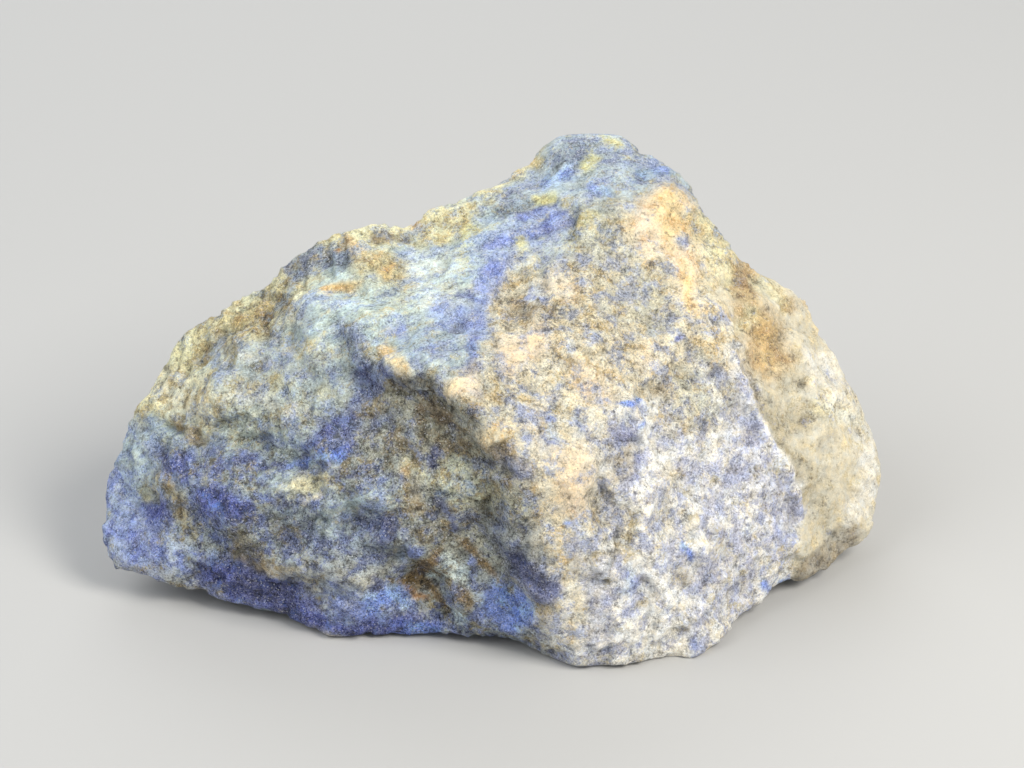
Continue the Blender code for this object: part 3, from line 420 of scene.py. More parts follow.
# Ridges and, with a rise under 0, grooves of the show side, in the camera's view: the run, its radius
# and its rise
RIDGES = [
    ([(16.5, -0.2), (18, -3), (19.4, -6.2), (21, -9), (22.4, -13)], 1.1, 0.7),
    ([(27, 6), (29.8, 4), (32, 0), (35, -5), (38.4, -10), (39.4, -15)], 1.5, 0.45),
    ([(24.6, -12.6), (26.4, -16.6), (27, -19)], 0.9, 0.5),
    ([(19.4, -13), (19, -16.4)], 0.8, 0.5),
    ([(20.2, -22), (22, -25.4)], 0.8, 0.5),
    ([(26, 3), (28, 0), (29, -4)], 0.8, 0.4),
    ([(-29, -8.6), (-24, -9), (-19.6, -9.4), (-19.4, -11.6)], 0.8, 0.4),
    ([(16.4, -16.4), (16, -20)], 0.7, -0.6),
    ([(-1.6, 0.6), (1, -3.6), (3.6, -5.2), (5.6, -8), (5.8, -12), (6.6, -17), (9, -23.4),
        (7.4, -30)], 2.8, 0.35),
    ([(-9, 1.4), (-4.6, -0.6), (-1.4, -4.6), (1.4, -7.4), (2.6, -10), (3, -15), (4.2, -19),
        (6, -22.8)], 3.4, 0.9),
    ([(-28, 12.6), (-25, 12.8)], 0.7, -0.5),
    ([(-5.4, -11.4), (-1, -12.8)], 1.3, 0.35),
    ([(-34, 7.6), (-31, 8.6), (-27.6, 11)], 0.8, -0.4),
    ([(30.4, 11), (31.6, 6), (33, 0), (37.6, -7), (39.8, -13)], 1.0, -0.5),
    ([(38.6, 2)], 0.8, -0.8),
    ([(40.1, -2.2)], 0.8, -0.7),
    ([(31, -18), (29, -22), (26, -26)], 0.9, 0.4),
    ([(-17.2, 8.6), (-13.3, 6.4), (-12.7, 3.6)], 1.1, 0.4),
    ([(-32, -17.8), (-27.4, -16.6), (-21.7, -13.9), (-14, -12)], 0.9, 0.4),
    ([(-12.7, -6.5), (-12.2, -12), (-12.6, -19)], 0.7, -0.35),
    ([(-38, -10), (-34.4, -10.4), (-31.6, -12.6), (-33, -15)], 0.8, 0.35),
    ([(-41.6, -0.8), (-37.5, -3.1), (-32, -4.2), (-25, -2.4)], 0.9, 0.35),
]

# How far the strokes' edges wander, as (size of the noise, distance, seed), what each axis adds to the
# seed, and the share of that wandering that the ridges and grooves get
WANDER = [(6.0, 1.3, 31), (2.0, 0.7, 32), (0.9, 0.3, 33)]
AXIS_SEED_STEP = 10
RIDGE_WANDER = 0.5

# The hidden side's ground: blue-grey and salt rock mixed by a cloudy noise
HIDDEN_PATCH_SIZE = 16.0
HIDDEN_PATCH_CONTRAST = 1.2
HIDDEN_PATCH_SEED = 51

# Edges and hollows, lighter on edges as wear and painted highlight and darker in hollows as painted shade:
# how many rounds of averaging a point is judged against, and the distance that counts as full
BULGE_ROUNDS = 4
BULGE_FULL = 0.12

# Natural mottling added to every rock: size of the patches, how much the blue share, the stain share
# and the brightness vary, and the seed
MOTTLES = [
    (8.0, 0.14, 0.16, 0.05, 44),
    (4.4, 0.16, 0.18, 0.06, 41),
    (2.1, 0.12, 0.12, 0.05, 42),
    (1.0, 0.08, 0.08, 0.04, 43),
]

# The grain patterns of the shader. Cloudy noise with detail down to single grains is stretched to fill
# the range from 0 to 1, and flakes and random cells are added, one cell to a grain. The fibrous rocks'
# noise is drawn out and finer
PATCH_SIZE = 2.2
FIBRE_PATCH_SIZE = 0.7 * PATCH_SIZE
PATCH_DETAIL = 6.0
PATCH_ROUGHNESS = 0.66
PATCH_STRETCH = 3.4
GRAIN_SIZE = 0.26
FINE_GRAIN_SIZE = 0.6 * GRAIN_SIZE
FLAKE_SIZE = 1.5
SMALL_FLAKE_SIZE = 0.4 * FLAKE_SIZE
FLAKE_SHARE = 0.2
GRAIN_SHARE = 0.2
GRAIN_SOFTNESS = 0.2

# How widely the pattern's values lie about 0.5, and the least share that a mineral or its ground keeps
PATTERN_SPREAD = 0.091
LEAST_SHARE = 0.004

# Where each use of the cloudy noise looks it up, so that no two are alike
BLUE_SHIFT = 0.0
HEIGHT_SHIFT = 40.0
STAIN_SHIFT = 60.0
TINGE_SHIFT = 90.0
CLOUD_SHIFT_WAY = (1.0, 1.7, 0.6)
THREAD_SHIFT_WAY = (1.0, 0.7, 1.3)

# The finest relief's noise, plain and fibrous, as (size, roughness)
HEIGHT_CLOUDS = (1.1, 0.76)
FIBRE_HEIGHT_CLOUDS = (0.9, 0.72)

# The noise that makes the flakes' edges ragged and the threads wind, and how far it moves the edges
EDGE_NOISE_SIZE = 0.7
EDGE_DETAIL = 3.0
EDGE_ROUGHNESS = 0.6
EDGE_REACH = 0.9

# Thin winding lines, as (shift, size, width in the noise): dark cracks, then fine and coarse pale threads
CRACKS = (13.0, 2.2, 0.014)
FINE_THREADS = (51.0, 0.8, 0.022)
FINE_THREAD_SHARE = 0.7
COARSE_THREADS = (27.0, 1.7, 0.014)

# What the darkest and the lightest grains of a mineral are mixed with, as (linear colour, share)
BLUE_RANGE = [((0.0, 0.0, 0.02, 1.0), 0.3), ((1.0, 1.0, 1.0, 1.0), 0.2)]
STAIN_RANGE = [((0.0, 0.0, 0.0, 1.0), 0.25), ((1.0, 0.95, 0.8, 1.0), 0.2)]
DARK_COLOUR = (0.05, 0.045, 0.04, 1.0)
DARK_COVER = 0.55
COOL_TINGE = (0.94, 0.99, 1.07, 1.0)
WARM_TINGE = (1.06, 1.0, 0.88, 1.0)
TINGE_SIZE = 1.4

# How much the brightness varies with each pattern at a harshness of 1, and the harshness of a rock with
# no contrast and with full contrast
GRAIN_SHADE = 0.22
FINE_GRAIN_SHADE = 0.26
# The height's share is painted shade and light: the finest relief darker in its low places, lighter on its
# high ones
HEIGHT_PAINTED_SHADE = 0.3
FLAKE_SHADE = 0.2
CRACK_SHADE = -0.42
THREAD_SHADE = 0.3
# Edges lighter as wear and painted highlight, hollows darker as painted shade
EDGE_WEAR_AND_HOLLOW_SHADE = 0.32
FULL_CONTRAST = 1.5
HARSHNESS = (0.3, 1.95)

# Dark specks and bright glints: which of the finest grains they are, and how strong they are
SPECK_GRAINS = (0.08, 0.26)
SPECK_SHADE = 0.4
GLINTS_FROM = 0.96
GLINT_COVER = 0.4
GLINT_COLOUR = (0.85, 0.86, 0.9, 1.0)

# The bump of each pattern, the bump's strength from no contrast to a contrast of 1, and the gloss
HEIGHT_BUMP = 0.3
FINE_GRAIN_BUMP = 0.04
FLAKE_BUMP = 0.6
SMALL_FLAKE_BUMP = 0.5
THREAD_BUMP = 0.06
BUMP_STRENGTH = (0.45, 1.0)
ROCK_ROUGHNESS = (0.55, 0.9)
ROCK_IOR = 1.5

FLOOR_HALF_METRES = 1.5
FLOOR_COLOUR = (0.4, 0.4, 0.395, 1.0)
FLOOR_ROUGHNESS = 0.85

# The studio lights, in metres and watts: name, place, size, energy and colour. They all face one point
LIGHTS = [
    ("key", (0.32, -0.24, 0.42), 0.26, 3.8, (1.0, 0.96, 0.89)),
    ("fill", (-0.42, -0.16, 0.44), 0.5, 2.4, (0.96, 0.98, 1.0)),
    ("back", (-0.06, 0.46, 0.34), 0.4, 1.3, (0.98, 0.99, 1.0)),
]
LIGHT_TARGET = (0.0, 0.0, 0.02)
WORLD_COLOUR = (0.96, 0.98, 1.0, 1.0)
WORLD_STRENGTH = 0.48

# The scrambling of whole numbers into random ones: a factor for each axis and for the seed, rounds of a
# shift and a factor, the bits that are kept and those that are used, and how far a seed shifts the noise
AXIS_FACTORS = (73856093, 19349663, 83492791)
SEED_FACTOR = 2654435761
ROUNDS = [(15, 2246822519), (13, 3266489917), (16, 1)]
WORD = 0xFFFFFFFF
USED_BITS = 0xFFFFFF
SEED_STEP = 0.371


def hashed(cell, seed):
    """A random number from 0 to 1 for each whole-numbered cell, the same each run."""
    key = cell.astype(np.int64).astype(np.uint64)
    mixed = np.full(key.shape[:-1], seed * SEED_FACTOR & WORD, np.uint64)
    for axis, factor in enumerate(AXIS_FACTORS):
        mixed ^= key[..., axis] * np.uint64(factor)
    for shift, factor in ROUNDS:
        mixed = (mixed ^ (mixed >> np.uint64(shift))) * np.uint64(factor) & np.uint64(WORD)
    return (mixed & np.uint64(USED_BITS)).astype(float) / USED_BITS


def soft_noise(points, size, seed):
    """Smooth noise from -1 to 1 whose features are about this size."""
    place = points / size + seed * SEED_STEP
    base = np.floor(place)
    blend = smooth_step(place - base)
    total = np.zeros(len(points))
    for corner in np.ndindex(2, 2, 2):
        corner = np.array(corner)
        weight = np.prod(np.where(corner, blend, 1.0 - blend), axis=1)
        total += weight * hashed(base + corner, seed)
    return 2.0 * total - 1.0


def nearest_cell(points, size, seed):
    """For each point, the offset to the nearest of randomly strewn centres, and that centre's cell."""
    place = points / size
    base = np.floor(place)
    best = np.full(len(points), np.inf)
    offset = np.zeros_like(points)
    owner = np.zeros_like(points)
    for step in np.ndindex(3, 3, 3):
        cell = base + np.array(step) - 1.0
        centre = cell + np.stack([hashed(cell, seed + axis) for axis in range(3)], axis=1)
        away = place - centre
        distance = np.einsum("ij,ij->i", away, away)
        closer = distance < best
        best[closer] = distance[closer]
        offset[closer] = away[closer]
        owner[closer] = cell[closer]
    return offset * size, owner


def smooth_step(value):
    """The value held between 0 and 1, with a smooth start and end."""
    t = np.clip(value, 0.0, 1.0)
    return t * t * (3.0 - 2.0 * t)


def seen_by_camera(points):
    """(across, up) of each point in the camera's view, measured at the view's centre."""
    away = points - SIGHT_CENTRE
    shrink = 1.0 - away @ SIGHT_AWAY / SIGHT_DISTANCE
    return np.stack([away[:, 0], away @ SIGHT_UP], axis=1) / shrink[:, None]


def distance_to_run(places, run):
    """The distance of each place from a run of points."""
    run = [np.array(point, float) for point in run]
    nearest = np.linalg.norm(places - run[0], axis=1)
    for start, end in zip(run, run[1:]):
        along = end - start
        t = np.clip((places - start) @ along / (along @ along), 0.0, 1.0)
        nearest = np.minimum(nearest, np.linalg.norm(places - start - t[:, None] * along, axis=1))
    return nearest


def stroke_weight(places, strokes, softness):
    """How much of the paint each place gets: 1 well inside the strokes and 0 outside them."""
    weight = np.zeros(len(places))
    for radius, *run in strokes:
        depth = 1.0 - distance_to_run(places, run) / radius
        weight = np.maximum(weight, smooth_step(0.5 + 0.5 * depth / softness))
    return weight


def vertex_vectors(mesh, name):
    vectors = np.empty(len(mesh.vertices) * 3, np.float32)
    mesh.vertices.foreach_get(name, vectors)
    return vectors.reshape(-1, 3).astype(float)


def mesh_points(mesh):
    return vertex_vectors(mesh, "co") / MM


def set_points(mesh, points):
    mesh.vertices.foreach_set("co", (points * MM).astype(np.float32).ravel())
    mesh.update()


def fine_mesh(node):
    """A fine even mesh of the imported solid, with its facets smoothed away."""
    joined = bmesh.new()
    joined.from_mesh(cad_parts[node].data)
    bmesh.ops.remove_doubles(joined, verts=joined.verts, dist=MERGE_METRES)
    source = bpy.data.meshes.new("stone_source")
    joined.to_mesh(source)
    joined.free()
    holder = bpy.data.objects.new("stone_source", source)
    bpy.context.scene.collection.objects.link(holder)
    even = holder.modifiers.new("even", "REMESH")
    even.mode = "VOXEL"
    even.voxel_size = VOXEL * MM
    worn = holder.modifiers.new("worn", "SMOOTH")
    worn.factor = SMOOTH_SHARE
    worn.iterations = SMOOTH_PASSES
    graph = bpy.context.evaluated_depsgraph_get()
    mesh = bpy.data.meshes.new_from_object(holder.evaluated_get(graph))
    bpy.data.objects.remove(holder)
    return mesh


def facing_share(normals, points):
    """1 where the surface is on the show side, 0 on the hidden side, and between along the outline."""
    eye = SIGHT_CENTRE + SIGHT_AWAY * SIGHT_DISTANCE
    sight = eye - points
    cosine = np.einsum("ij,ij->i", normals, sight) / np.linalg.norm(sight, axis=1)
    return smooth_step((cosine - SHOW_FROM) / SHOW_FADE)


def painted(points, normals):
    """The rock at each point, as rows of the columns that are named above."""
    wandered = wandered_from(points)
    rows = np.tile(ROCKS["beige"].values, (len(points), 1))

    patches = soft_noise(points, HIDDEN_PATCH_SIZE, HIDDEN_PATCH_SEED)
    blue_share = smooth_step(0.5 + HIDDEN_PATCH_CONTRAST * patches)[:, None]
    hidden = blue_share * ROCKS["blue_grey"].values + (1.0 - blue_share) * ROCKS["salt"].values
    for name, strength, softness, *strokes in HIDDEN_STROKES:
        weight = strength * stroke_weight(wandered, strokes, softness)[:, None]
        hidden += weight * (ROCKS[name].values - hidden)

    places = seen_by_camera(wandered)
    for name, strength, softness, *strokes in SHOW_STROKES:
        weight = strength * stroke_weight(places, strokes, softness)[:, None]
        rows += weight * (ROCKS[name].values - rows)

    facing = facing_share(normals, points)[:, None]
    rows = facing * rows + (1.0 - facing) * hidden

    for size, blue, stain, bright, seed in MOTTLES:
        rows[:, BLUE] += blue * rows[:, CONTRAST] * soft_noise(points, size, seed)
        rows[:, STAIN] += stain * rows[:, CONTRAST] * soft_noise(points, size, seed + 1)
        rows[:, GROUND] *= 1.0 + bright * soft_noise(points, size, seed + 2)[:, None]
    return rows


def stretched(points, way, share):
    """The points with their distances along this way shrunk, so that a pattern is drawn out along it."""
    return points - np.outer(points @ way, way) * (1.0 - 1.0 / share)


def ridge_height(places):
    """How far the named ridges and grooves raise each place of the camera's view."""
    height = np.zeros(len(places))
    for run, radius, rise in RIDGES:
        height += rise * smooth_step(1.0 - distance_to_run(places, run) / radius)
    return height


def relief_height(points, rows):
    """How far the small relief raises each point."""
    height = np.zeros(len(points))
    for size, rise, seed in CHIPS:
        offset, owner = nearest_cell(points, size, seed)
        tilt = np.stack([hashed(owner, seed + TILT_SEED + axis) - 0.5 for axis in range(3)], axis=1)
        height += rise * CHIP_TILT * np.einsum("ij,ij->i", offset / size, tilt)
        height += rise * CHIP_LIFT * (hashed(owner, seed + LIFT_SEED) - 0.5)
    for size, rise, seed in SOFT_RELIEF:
        height += rise * soft_noise(points, size, seed)
    level = soft_noise(points, STEP_SIZE, STEP_SEED) * STEP_LEVELS
    height += STEP_HEIGHT * (np.floor(level) + smooth_step((level % 1.0) * STEP_SHARPNESS) - level)
    above = soft_noise(points, PIT_SIZE, PIT_SEED) - 1.0 + PIT_SHARE * 2.0
    height -= PIT_DEPTH * smooth_step(above / PIT_SOFTNESS)
    height *= rows[:, RELIEF]

    fluted = stretched(points, SIGHT_UP, FLUTE_STRETCH)
    offset, _ = nearest_cell(fluted, FLUTE_SIZE, FLUTE_SEED)
    height -= rows[:, FLUTE] * FLUTE_HEIGHT * np.linalg.norm(offset, axis=1) / FLUTE_SIZE
    drawn = stretched(points, FIBRE_WAY, FIBRE_STRETCH)
    for size, rise, seed in FIBRE_SIZES:
        height += rows[:, FIBRE] * rise * soft_noise(drawn, size, seed)
    return height


def wandered_from(points):
    """The points moved a little by noise, so that what is drawn over them gets ragged edges."""
    moved = points.copy()
    for size, distance, seed in WANDER:
        for axis in range(3):
            moved[:, axis] += distance * soft_noise(points, size, seed + AXIS_SEED_STEP * axis)
    return moved


def bulge(mesh, normals):
    """How far each point stands out from its neighbours, smoothed: above 0 on edges, below 0 in hollows."""
    points = mesh_points(mesh)
    edges = np.empty(len(mesh.edges) * 2, np.int32)
    mesh.edges.foreach_get("vertices", edges)
    ends = edges.reshape(-1, 2)
    count = np.bincount(ends.ravel(), minlength=len(points)).astype(float)

    def neighbour_mean(values):
        total = np.zeros_like(values)
        np.add.at(total, ends[:, 0], values[ends[:, 1]])
        np.add.at(total, ends[:, 1], values[ends[:, 0]])
        return total / count[:, None]

    blurred = points
    for _ in range(BULGE_ROUNDS):
        blurred = neighbour_mean(blurred)
    standing = np.einsum("ij,ij->i", points - blurred, normals)
    return neighbour_mean(standing[:, None])[:, 0]


def grain_threshold(share):
    """The level below which this share of the grain pattern lies: the pattern is bell-shaped."""
    share = np.clip(share, LEAST_SHARE, 1.0 - LEAST_SHARE)
    return 0.5 + PATTERN_SPREAD * np.log(share / (1.0 - share))


def set_colour_attribute(mesh, name, values):
    attribute = mesh.attributes.new(name, "FLOAT_COLOR", "POINT")
    colours = np.ones((len(values), 4), np.float32)
    colours[:, :3] = values
    attribute.data.foreach_set("color", colours.ravel())


class Nodes:
    """Builds a material's nodes: each method adds one and returns the output that is used."""

    def __init__(self, material):
        material.use_nodes = True
        self.tree = material.node_tree
        self.shader = self.tree.nodes["Principled BSDF"]

    def add(self, kind, inputs, output, **settings):
        node = self.tree.nodes.new("ShaderNode" + kind)
        for name, value in settings.items():
            setattr(node, name, value)
        for key, value in inputs.items():
            self.plug(node.inputs[key], value)
        return node.outputs[output]

    def plug(self, socket, value):
        if isinstance(value, bpy.types.NodeSocket):
            self.tree.links.new(value, socket)
        else:
            socket.default_value = value

    def attribute(self, name):
        return self.add("Attribute", {}, "Color", attribute_name=name)

    def channels(self, colour):
        """A colour's red, green and blue as numbers."""
        return tuple(self.add("SeparateColor", {0: colour}, 0).node.outputs)

    def tripled(self, kind, value):
        """A vector or a colour with this value three times over."""
        return self.add(kind, {0: value, 1: value, 2: value}, 0)

    def math(self, operation, *values):
        return self.add("Math", dict(enumerate(values)), 0, operation=operation)

    def vector(self, operation, first, second, output=0):
        return self.add("VectorMath", {0: first, 1: second}, output, operation=operation)

    def scaled(self, vector, scale):
        return self.add("VectorMath", {0: vector, "Scale": scale}, 0, operation="SCALE")

    def noise(self, vector, size, detail, roughness, output="Fac"):
        inputs = {"Vector": vector, "Scale": 1.0 / size, "Detail": detail, "Roughness": roughness}
        return self.add("TexNoise", inputs, output)

    def cells(self, vector, size):
        """Three random numbers for each cell of about this size."""
        return self.channels(self.add("TexVoronoi", {"Vector": vector, "Scale": 1.0 / size}, "Color"))

    def tilted_cells(self, vector, size):
        """The height of cells that are each tilted at random, and three random numbers for each."""
        colour = self.add("TexVoronoi", {"Vector": vector, "Scale": 1.0 / size}, "Color")
        away = self.vector("SUBTRACT", vector, colour.node.outputs["Position"])
        slope = self.vector("SUBTRACT", colour, (0.5, 0.5, 0.5))
        return self.vector("DOT_PRODUCT", away, slope, "Value"), self.channels(colour)

    def ramp(self, value, low, high, to_low=0.0, to_high=1.0, kind="SMOOTHSTEP"):
        inputs = {"Value": value, "From Min": low, "From Max": high, "To Min": to_low, "To Max": to_high}
        return self.add("MapRange", inputs, 0, interpolation_type=kind)

    def mix_value(self, factor, first, second):
        return self.add("Mix", {0: factor, 2: first, 3: second}, 0, data_type="FLOAT")

    def mix(self, factor, first, second, blend="MIX"):
        inputs = {0: factor, 6: first, 7: second}
        return self.add("Mix", inputs, 2, data_type="RGBA", blend_type=blend)


class RockNodes(Nodes):
    """The stone's painted attributes, and the patterns of grains, flakes, clouds and threads over it."""

    def __init__(self, material):
        super().__init__(material)
        self.ground = self.attribute("ground")
        self.blue_tint = self.attribute("blue_tint")
        self.stain_tint = self.attribute("stain_tint")
        self.levels = self.channels(self.attribute("grain_levels"))
        # The third channel: edges lighter as wear and painted highlight, hollows darker as painted shade
        self.contrast, self.fibre, self.edge_wear_and_hollow_shade = self.channels(self.attribute("grain_character"))

        self.place = self.scaled(self.add("TexCoord", {}, "Object"), 1.0 / MM)
        way = tuple(FIBRE_WAY)
        along = self.tripled("CombineXYZ", self.vector("DOT_PRODUCT", self.place, way, "Value"))
        along = self.vector("MULTIPLY", along, way)
        self.drawn = self.vector("ADD", self.place, self.scaled(along, 1.0 / FIBRE_STRETCH - 1.0))
        inputs = {0: self.fibre, 4: self.place, 5: self.drawn}
        self.grown = self.add("Mix", inputs, 1, data_type="VECTOR")

        self.grains = self.cells(self.place, GRAIN_SIZE)
        self.fine_grains = self.cells(self.place, FINE_GRAIN_SIZE)
        edge_noise = self.noise(self.place, EDGE_NOISE_SIZE, EDGE_DETAIL, EDGE_ROUGHNESS, "Color")
        ragged = self.vector("ADD", self.grown, self.scaled(edge_noise, EDGE_REACH))
        self.flake_rise, self.flakes = self.tilted_cells(ragged, FLAKE_SIZE)
        self.small_flake_rise = self.tilted_cells(ragged, SMALL_FLAKE_SIZE)[0]
        self.height = self.mix_value(self.fibre, self.clouds(self.place, HEIGHT_SHIFT, *HEIGHT_CLOUDS),
                                     self.clouds(self.drawn, HEIGHT_SHIFT, *FIBRE_HEIGHT_CLOUDS))
        self.crack = self.threads(*CRACKS)
        self.thread = self.math("MULTIPLY_ADD", self.threads(*FINE_THREADS), FINE_THREAD_SHARE,
                                self.threads(*COARSE_THREADS))

    def shifted(self, where, shift, way):
        return self.vector("ADD", where, tuple(shift * part for part in way))

    def clouds(self, where, shift, size, roughness=PATCH_ROUGHNESS):
        """Cloudy noise about 0.5 with detail down to single grains."""
        noise = self.noise(self.shifted(where, shift, CLOUD_SHIFT_WAY), size, PATCH_DETAIL, roughness)
        return self.math("MULTIPLY_ADD", noise, PATCH_STRETCH, 0.5 - 0.5 * PATCH_STRETCH)

    def pattern(self, shift, cell):
        """The pattern that a mineral's grains follow: clouds, with some of the flakes and of the cells."""
        patches = self.mix_value(self.fibre, self.clouds(self.place, shift, PATCH_SIZE),
                                 self.clouds(self.drawn, shift, FIBRE_PATCH_SIZE))
        return self.mix_value(GRAIN_SHARE, self.mix_value(FLAKE_SHARE, patches, self.flakes[0]), cell)

    def threads(self, shift, size, width):
        """1 on thin winding lines, 0 between them."""
        where = self.shifted(self.grown, shift, THREAD_SHIFT_WAY)
        noise = self.noise(where, size, EDGE_DETAIL, EDGE_ROUGHNESS)
        away = self.math("ABSOLUTE", self.math("SUBTRACT", noise, 0.5))
        return self.ramp(away, 0.0, width, 1.0, 0.0)

    def picked(self, level, pattern):
        """1 where the pattern lies below the level, 0 where it lies above."""
        return self.ramp(self.math("SUBTRACT", level, pattern), -GRAIN_SOFTNESS, GRAIN_SOFTNESS)

    def ranged(self, tint, tint_range, grain):
        """The tint, darker in some grains and lighter in others."""
        (dark, dark_share), (light, light_share) = tint_range
        return self.mix(grain, self.mix(dark_share, tint, dark), self.mix(light_share, tint, light))


def mineral_colour(n):
    """The ground with stained, blue and dark grains in it."""
    blue_level, stain_level, dark_level = n.levels
    is_blue = n.picked(blue_level, n.pattern(BLUE_SHIFT, n.grains[0]))
    is_stain = n.picked(stain_level, n.pattern(STAIN_SHIFT, n.grains[1]))
    is_dark = n.picked(dark_level, n.mix_value(GRAIN_SHARE, n.height, n.grains[2]))
    colour = n.mix(is_stain, n.ground, n.ranged(n.stain_tint, STAIN_RANGE, n.fine_grains[2]))
    colour = n.mix(is_blue, colour, n.ranged(n.blue_tint, BLUE_RANGE, n.fine_grains[1]))
    return n.mix(n.math("MULTIPLY", is_dark, DARK_COVER), colour, DARK_COLOUR)


def brightness(n):
    """The brightness from grain to grain, in cracks and on threads, with painted shade and light on the
    finest relief, and with edges lighter as wear and painted highlight and hollows darker as painted shade.
    """
    uneven = 0.0
    # The height's share is painted shade in the finest relief's low places and painted light on its high ones
    for value, shade in ((n.grains[2], GRAIN_SHADE), (n.fine_grains[0], FINE_GRAIN_SHADE),
                         (n.height, HEIGHT_PAINTED_SHADE), (n.flakes[1], FLAKE_SHADE)):
        uneven = n.math("MULTIPLY_ADD", n.math("SUBTRACT", value, 0.5), shade, uneven)
    uneven = n.math("MULTIPLY_ADD", n.crack, CRACK_SHADE, uneven)
    uneven = n.math("MULTIPLY_ADD", n.thread, THREAD_SHADE, uneven)
    harshness = n.ramp(n.contrast, 0.0, FULL_CONTRAST, *HARSHNESS, "LINEAR")
    shine = n.math("MULTIPLY_ADD", uneven, harshness, 1.0)
    # Edges lighter as wear and painted highlight, hollows darker as painted shade
    shine = n.math("MULTIPLY_ADD", n.math("SUBTRACT", n.edge_wear_and_hollow_shade, 0.5), EDGE_WEAR_AND_HOLLOW_SHADE, shine)
    specks = n.ramp(n.fine_grains[1], *SPECK_GRAINS, 1.0, 0.0)
    specks = n.math("MULTIPLY", specks, n.math("MULTIPLY", n.contrast, SPECK_SHADE))
    return n.math("MULTIPLY", shine, n.math("SUBTRACT", 1.0, specks))


def finest_relief(n):
    """The normal of the bumps that are too small for the mesh."""
    rise = 0.0
    lines = n.math("SUBTRACT", n.thread, n.crack)
    for value, bump in ((n.fine_grains[1], FINE_GRAIN_BUMP), (n.height, HEIGHT_BUMP),
                        (n.flake_rise, FLAKE_BUMP), (n.small_flake_rise, SMALL_FLAKE_BUMP),
                        (lines, THREAD_BUMP)):
        rise = n.math("MULTIPLY_ADD", value, bump, rise)
    strength = n.ramp(n.contrast, 0.0, 1.0, *BUMP_STRENGTH, "LINEAR")
    return n.add("Bump", {"Height": rise, "Strength": strength, "Distance": MM}, 0)


def rock_material():
    """Grains of blue, stain and dark mineral in a pale ground, after the painted attributes."""
    material = bpy.data.materials.new("lapis_rock_grain")
    n = RockNodes(material)
    colour = n.mix(1.0, mineral_colour(n), n.tripled("CombineColor", brightness(n)), "MULTIPLY")
    tinge = n.mix(n.clouds(n.place, TINGE_SHIFT, TINGE_SIZE), COOL_TINGE, WARM_TINGE)
    colour = n.mix(1.0, colour, tinge, "MULTIPLY")
    is_glint = n.math("GREATER_THAN", n.fine_grains[2], GLINTS_FROM)
    glints = n.math("MULTIPLY", is_glint, n.math("MULTIPLY", n.contrast, GLINT_COVER))
    n.plug(n.shader.inputs["Base Color"], n.mix(glints, colour, GLINT_COLOUR))
    n.plug(n.shader.inputs["Roughness"], n.ramp(n.grains[0], 0.0, 1.0, *ROCK_ROUGHNESS, "LINEAR"))
    n.plug(n.shader.inputs["Normal"], finest_relief(n))
    n.shader.inputs["IOR"].default_value = ROCK_IOR
    return material


def chipped(points, normals, rows):
    """The points moved by the relief, the ridges and the wear of the peak."""
    # The relief fades out towards the flat base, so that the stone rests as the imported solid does
    free = smooth_step(points[:, 2] / FLOOR_BAND)
    calm = smooth_step((points[:, 2].max() - points[:, 2]) / PEAK_BAND)
    places = seen_by_camera(points + RIDGE_WANDER * (wandered_from(points) - points))
    height = relief_height(points, rows) * (PEAK_RELIEF + (1.0 - PEAK_RELIEF) * calm)
    height += ridge_height(places) * facing_share(normals, points)
    height *= free
    moved = points + normals * height[:, None]
    for place, reach, drop in PEAK_CORNERS:
        near = smooth_step(1.0 - np.abs(points[:, 0] - place) / reach)
        moved[:, 2] -= drop * near * smooth_step((points[:, 2] - PEAK_CORNER_LEVEL) / PEAK_BAND)
    low, high = np.array(cad_box) / MM
    moved = np.clip(moved, low - BOX_MARGIN, high + BOX_MARGIN)
    moved[:, 2] = np.maximum(moved[:, 2], 0.0)
    return moved


def paint(mesh, rows):
    """Writes each point's rock, edge wear and painted hollow shade as the attributes that the material reads.
    """
    # How far each point stands out: edges get wear and painted highlight, hollows painted shade
    edge_wear_and_hollow_shade = np.clip(0.5 + 0.5 * bulge(mesh, vertex_vectors(mesh, "normal")) / BULGE_FULL, 0.0, 1.0)
    levels = [grain_threshold(rows[:, column]) for column in (BLUE, STAIN, DARK)]
    set_colour_attribute(mesh, "ground", np.clip(rows[:, GROUND], 0.0, 1.0))
    set_colour_attribute(mesh, "blue_tint", rows[:, BLUE_TINT])
    set_colour_attribute(mesh, "stain_tint", rows[:, STAIN_TINT])
    set_colour_attribute(mesh, "grain_levels", np.stack(levels, axis=1))
    set_colour_attribute(mesh, "grain_character", np.stack([rows[:, CONTRAST], rows[:, FIBRE], edge_wear_and_hollow_shade], axis=1))


def make_stone():
    mesh = fine_mesh("lapis_stone")
    points = mesh_points(mesh)
    normals = vertex_vectors(mesh, "normal")
    rows = painted(points, normals)
    set_points(mesh, chipped(points, normals, rows))
    paint(mesh, rows)

    mesh.name = "rough_lapis"
    mesh.materials.clear()
    mesh.materials.append(rock_material())
    mesh.shade_smooth()
    stone = bpy.data.objects.new("rough_lapis", mesh)
    bpy.context.scene.collection.objects.link(stone)
    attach(stone, "root")
    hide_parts("lapis_stone")


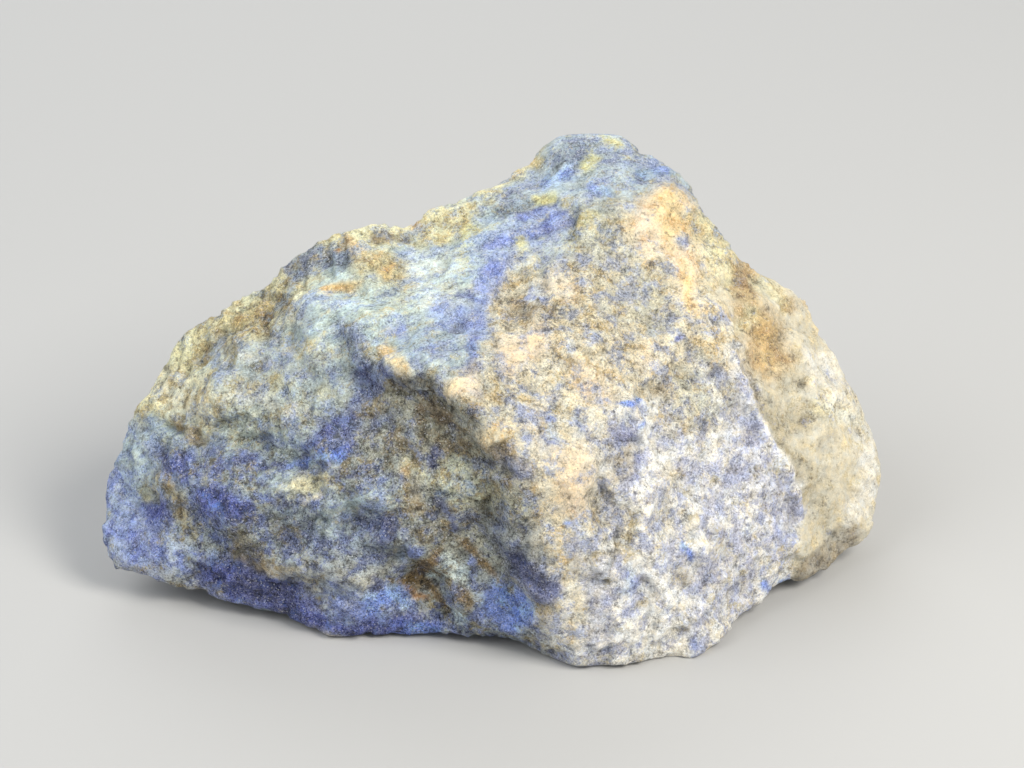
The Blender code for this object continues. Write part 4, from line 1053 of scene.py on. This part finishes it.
def make_floor():
    half = FLOOR_HALF_METRES
    corners = [(-half, -half, 0.0), (half, -half, 0.0), (half, half, 0.0), (-half, half, 0.0)]
    mesh = bpy.data.meshes.new("floor")
    mesh.from_pydata(corners, [], [(0, 1, 2, 3)])
    material = bpy.data.materials.new("pale_floor")
    material.use_nodes = True
    shader = material.node_tree.nodes["Principled BSDF"]
    shader.inputs["Base Color"].default_value = FLOOR_COLOUR
    shader.inputs["Roughness"].default_value = FLOOR_ROUGHNESS
    mesh.materials.append(material)
    floor = bpy.data.objects.new("floor", mesh)
    bpy.context.scene.collection.objects.link(floor)


def area_light(name, place, size, energy, colour):
    data = bpy.data.lights.new(name, "AREA")
    data.energy = energy
    data.size = size
    data.color = colour
    light = bpy.data.objects.new(name, data)
    bpy.context.scene.collection.objects.link(light)
    light.location = place
    sight = Vector(LIGHT_TARGET) - light.location
    light.rotation_euler = sight.to_track_quat("-Z", "Y").to_euler()


def make_lights():
    for name, place, size, energy, colour in LIGHTS:
        area_light(name, place, size, energy, colour)
    world = bpy.data.worlds.new("studio")
    bpy.context.scene.world = world
    world.use_nodes = True
    background = world.node_tree.nodes["Background"]
    background.inputs["Color"].default_value = WORLD_COLOUR
    background.inputs["Strength"].default_value = WORLD_STRENGTH


def make_camera():
    data = bpy.data.cameras.new("camera")
    camera = bpy.data.objects.new("camera", data)
    bpy.context.scene.collection.objects.link(camera)
    camera.location = (SIGHT_CENTRE + SIGHT_AWAY * SIGHT_DISTANCE) * MM
    camera.rotation_euler = (math.pi / 2.0 - SIGHT_TILT, 0.0, 0.0)
    data.sensor_width = SENSOR_WIDTH
    data.lens = SENSOR_WIDTH * SIGHT_DISTANCE / VIEW_WIDTH
    data.shift_x = VIEW_SHIFT_PIXELS[0] / VIEW_PIXELS
    data.shift_y = VIEW_SHIFT_PIXELS[1] / VIEW_PIXELS
    data.clip_start = CAMERA_NEAR_METRES
    bpy.context.scene.camera = camera


make_stone()
make_floor()
make_lights()
make_camera()
bpy.context.scene.view_settings.view_transform = "Standard"

bpy.context.view_layer.update()
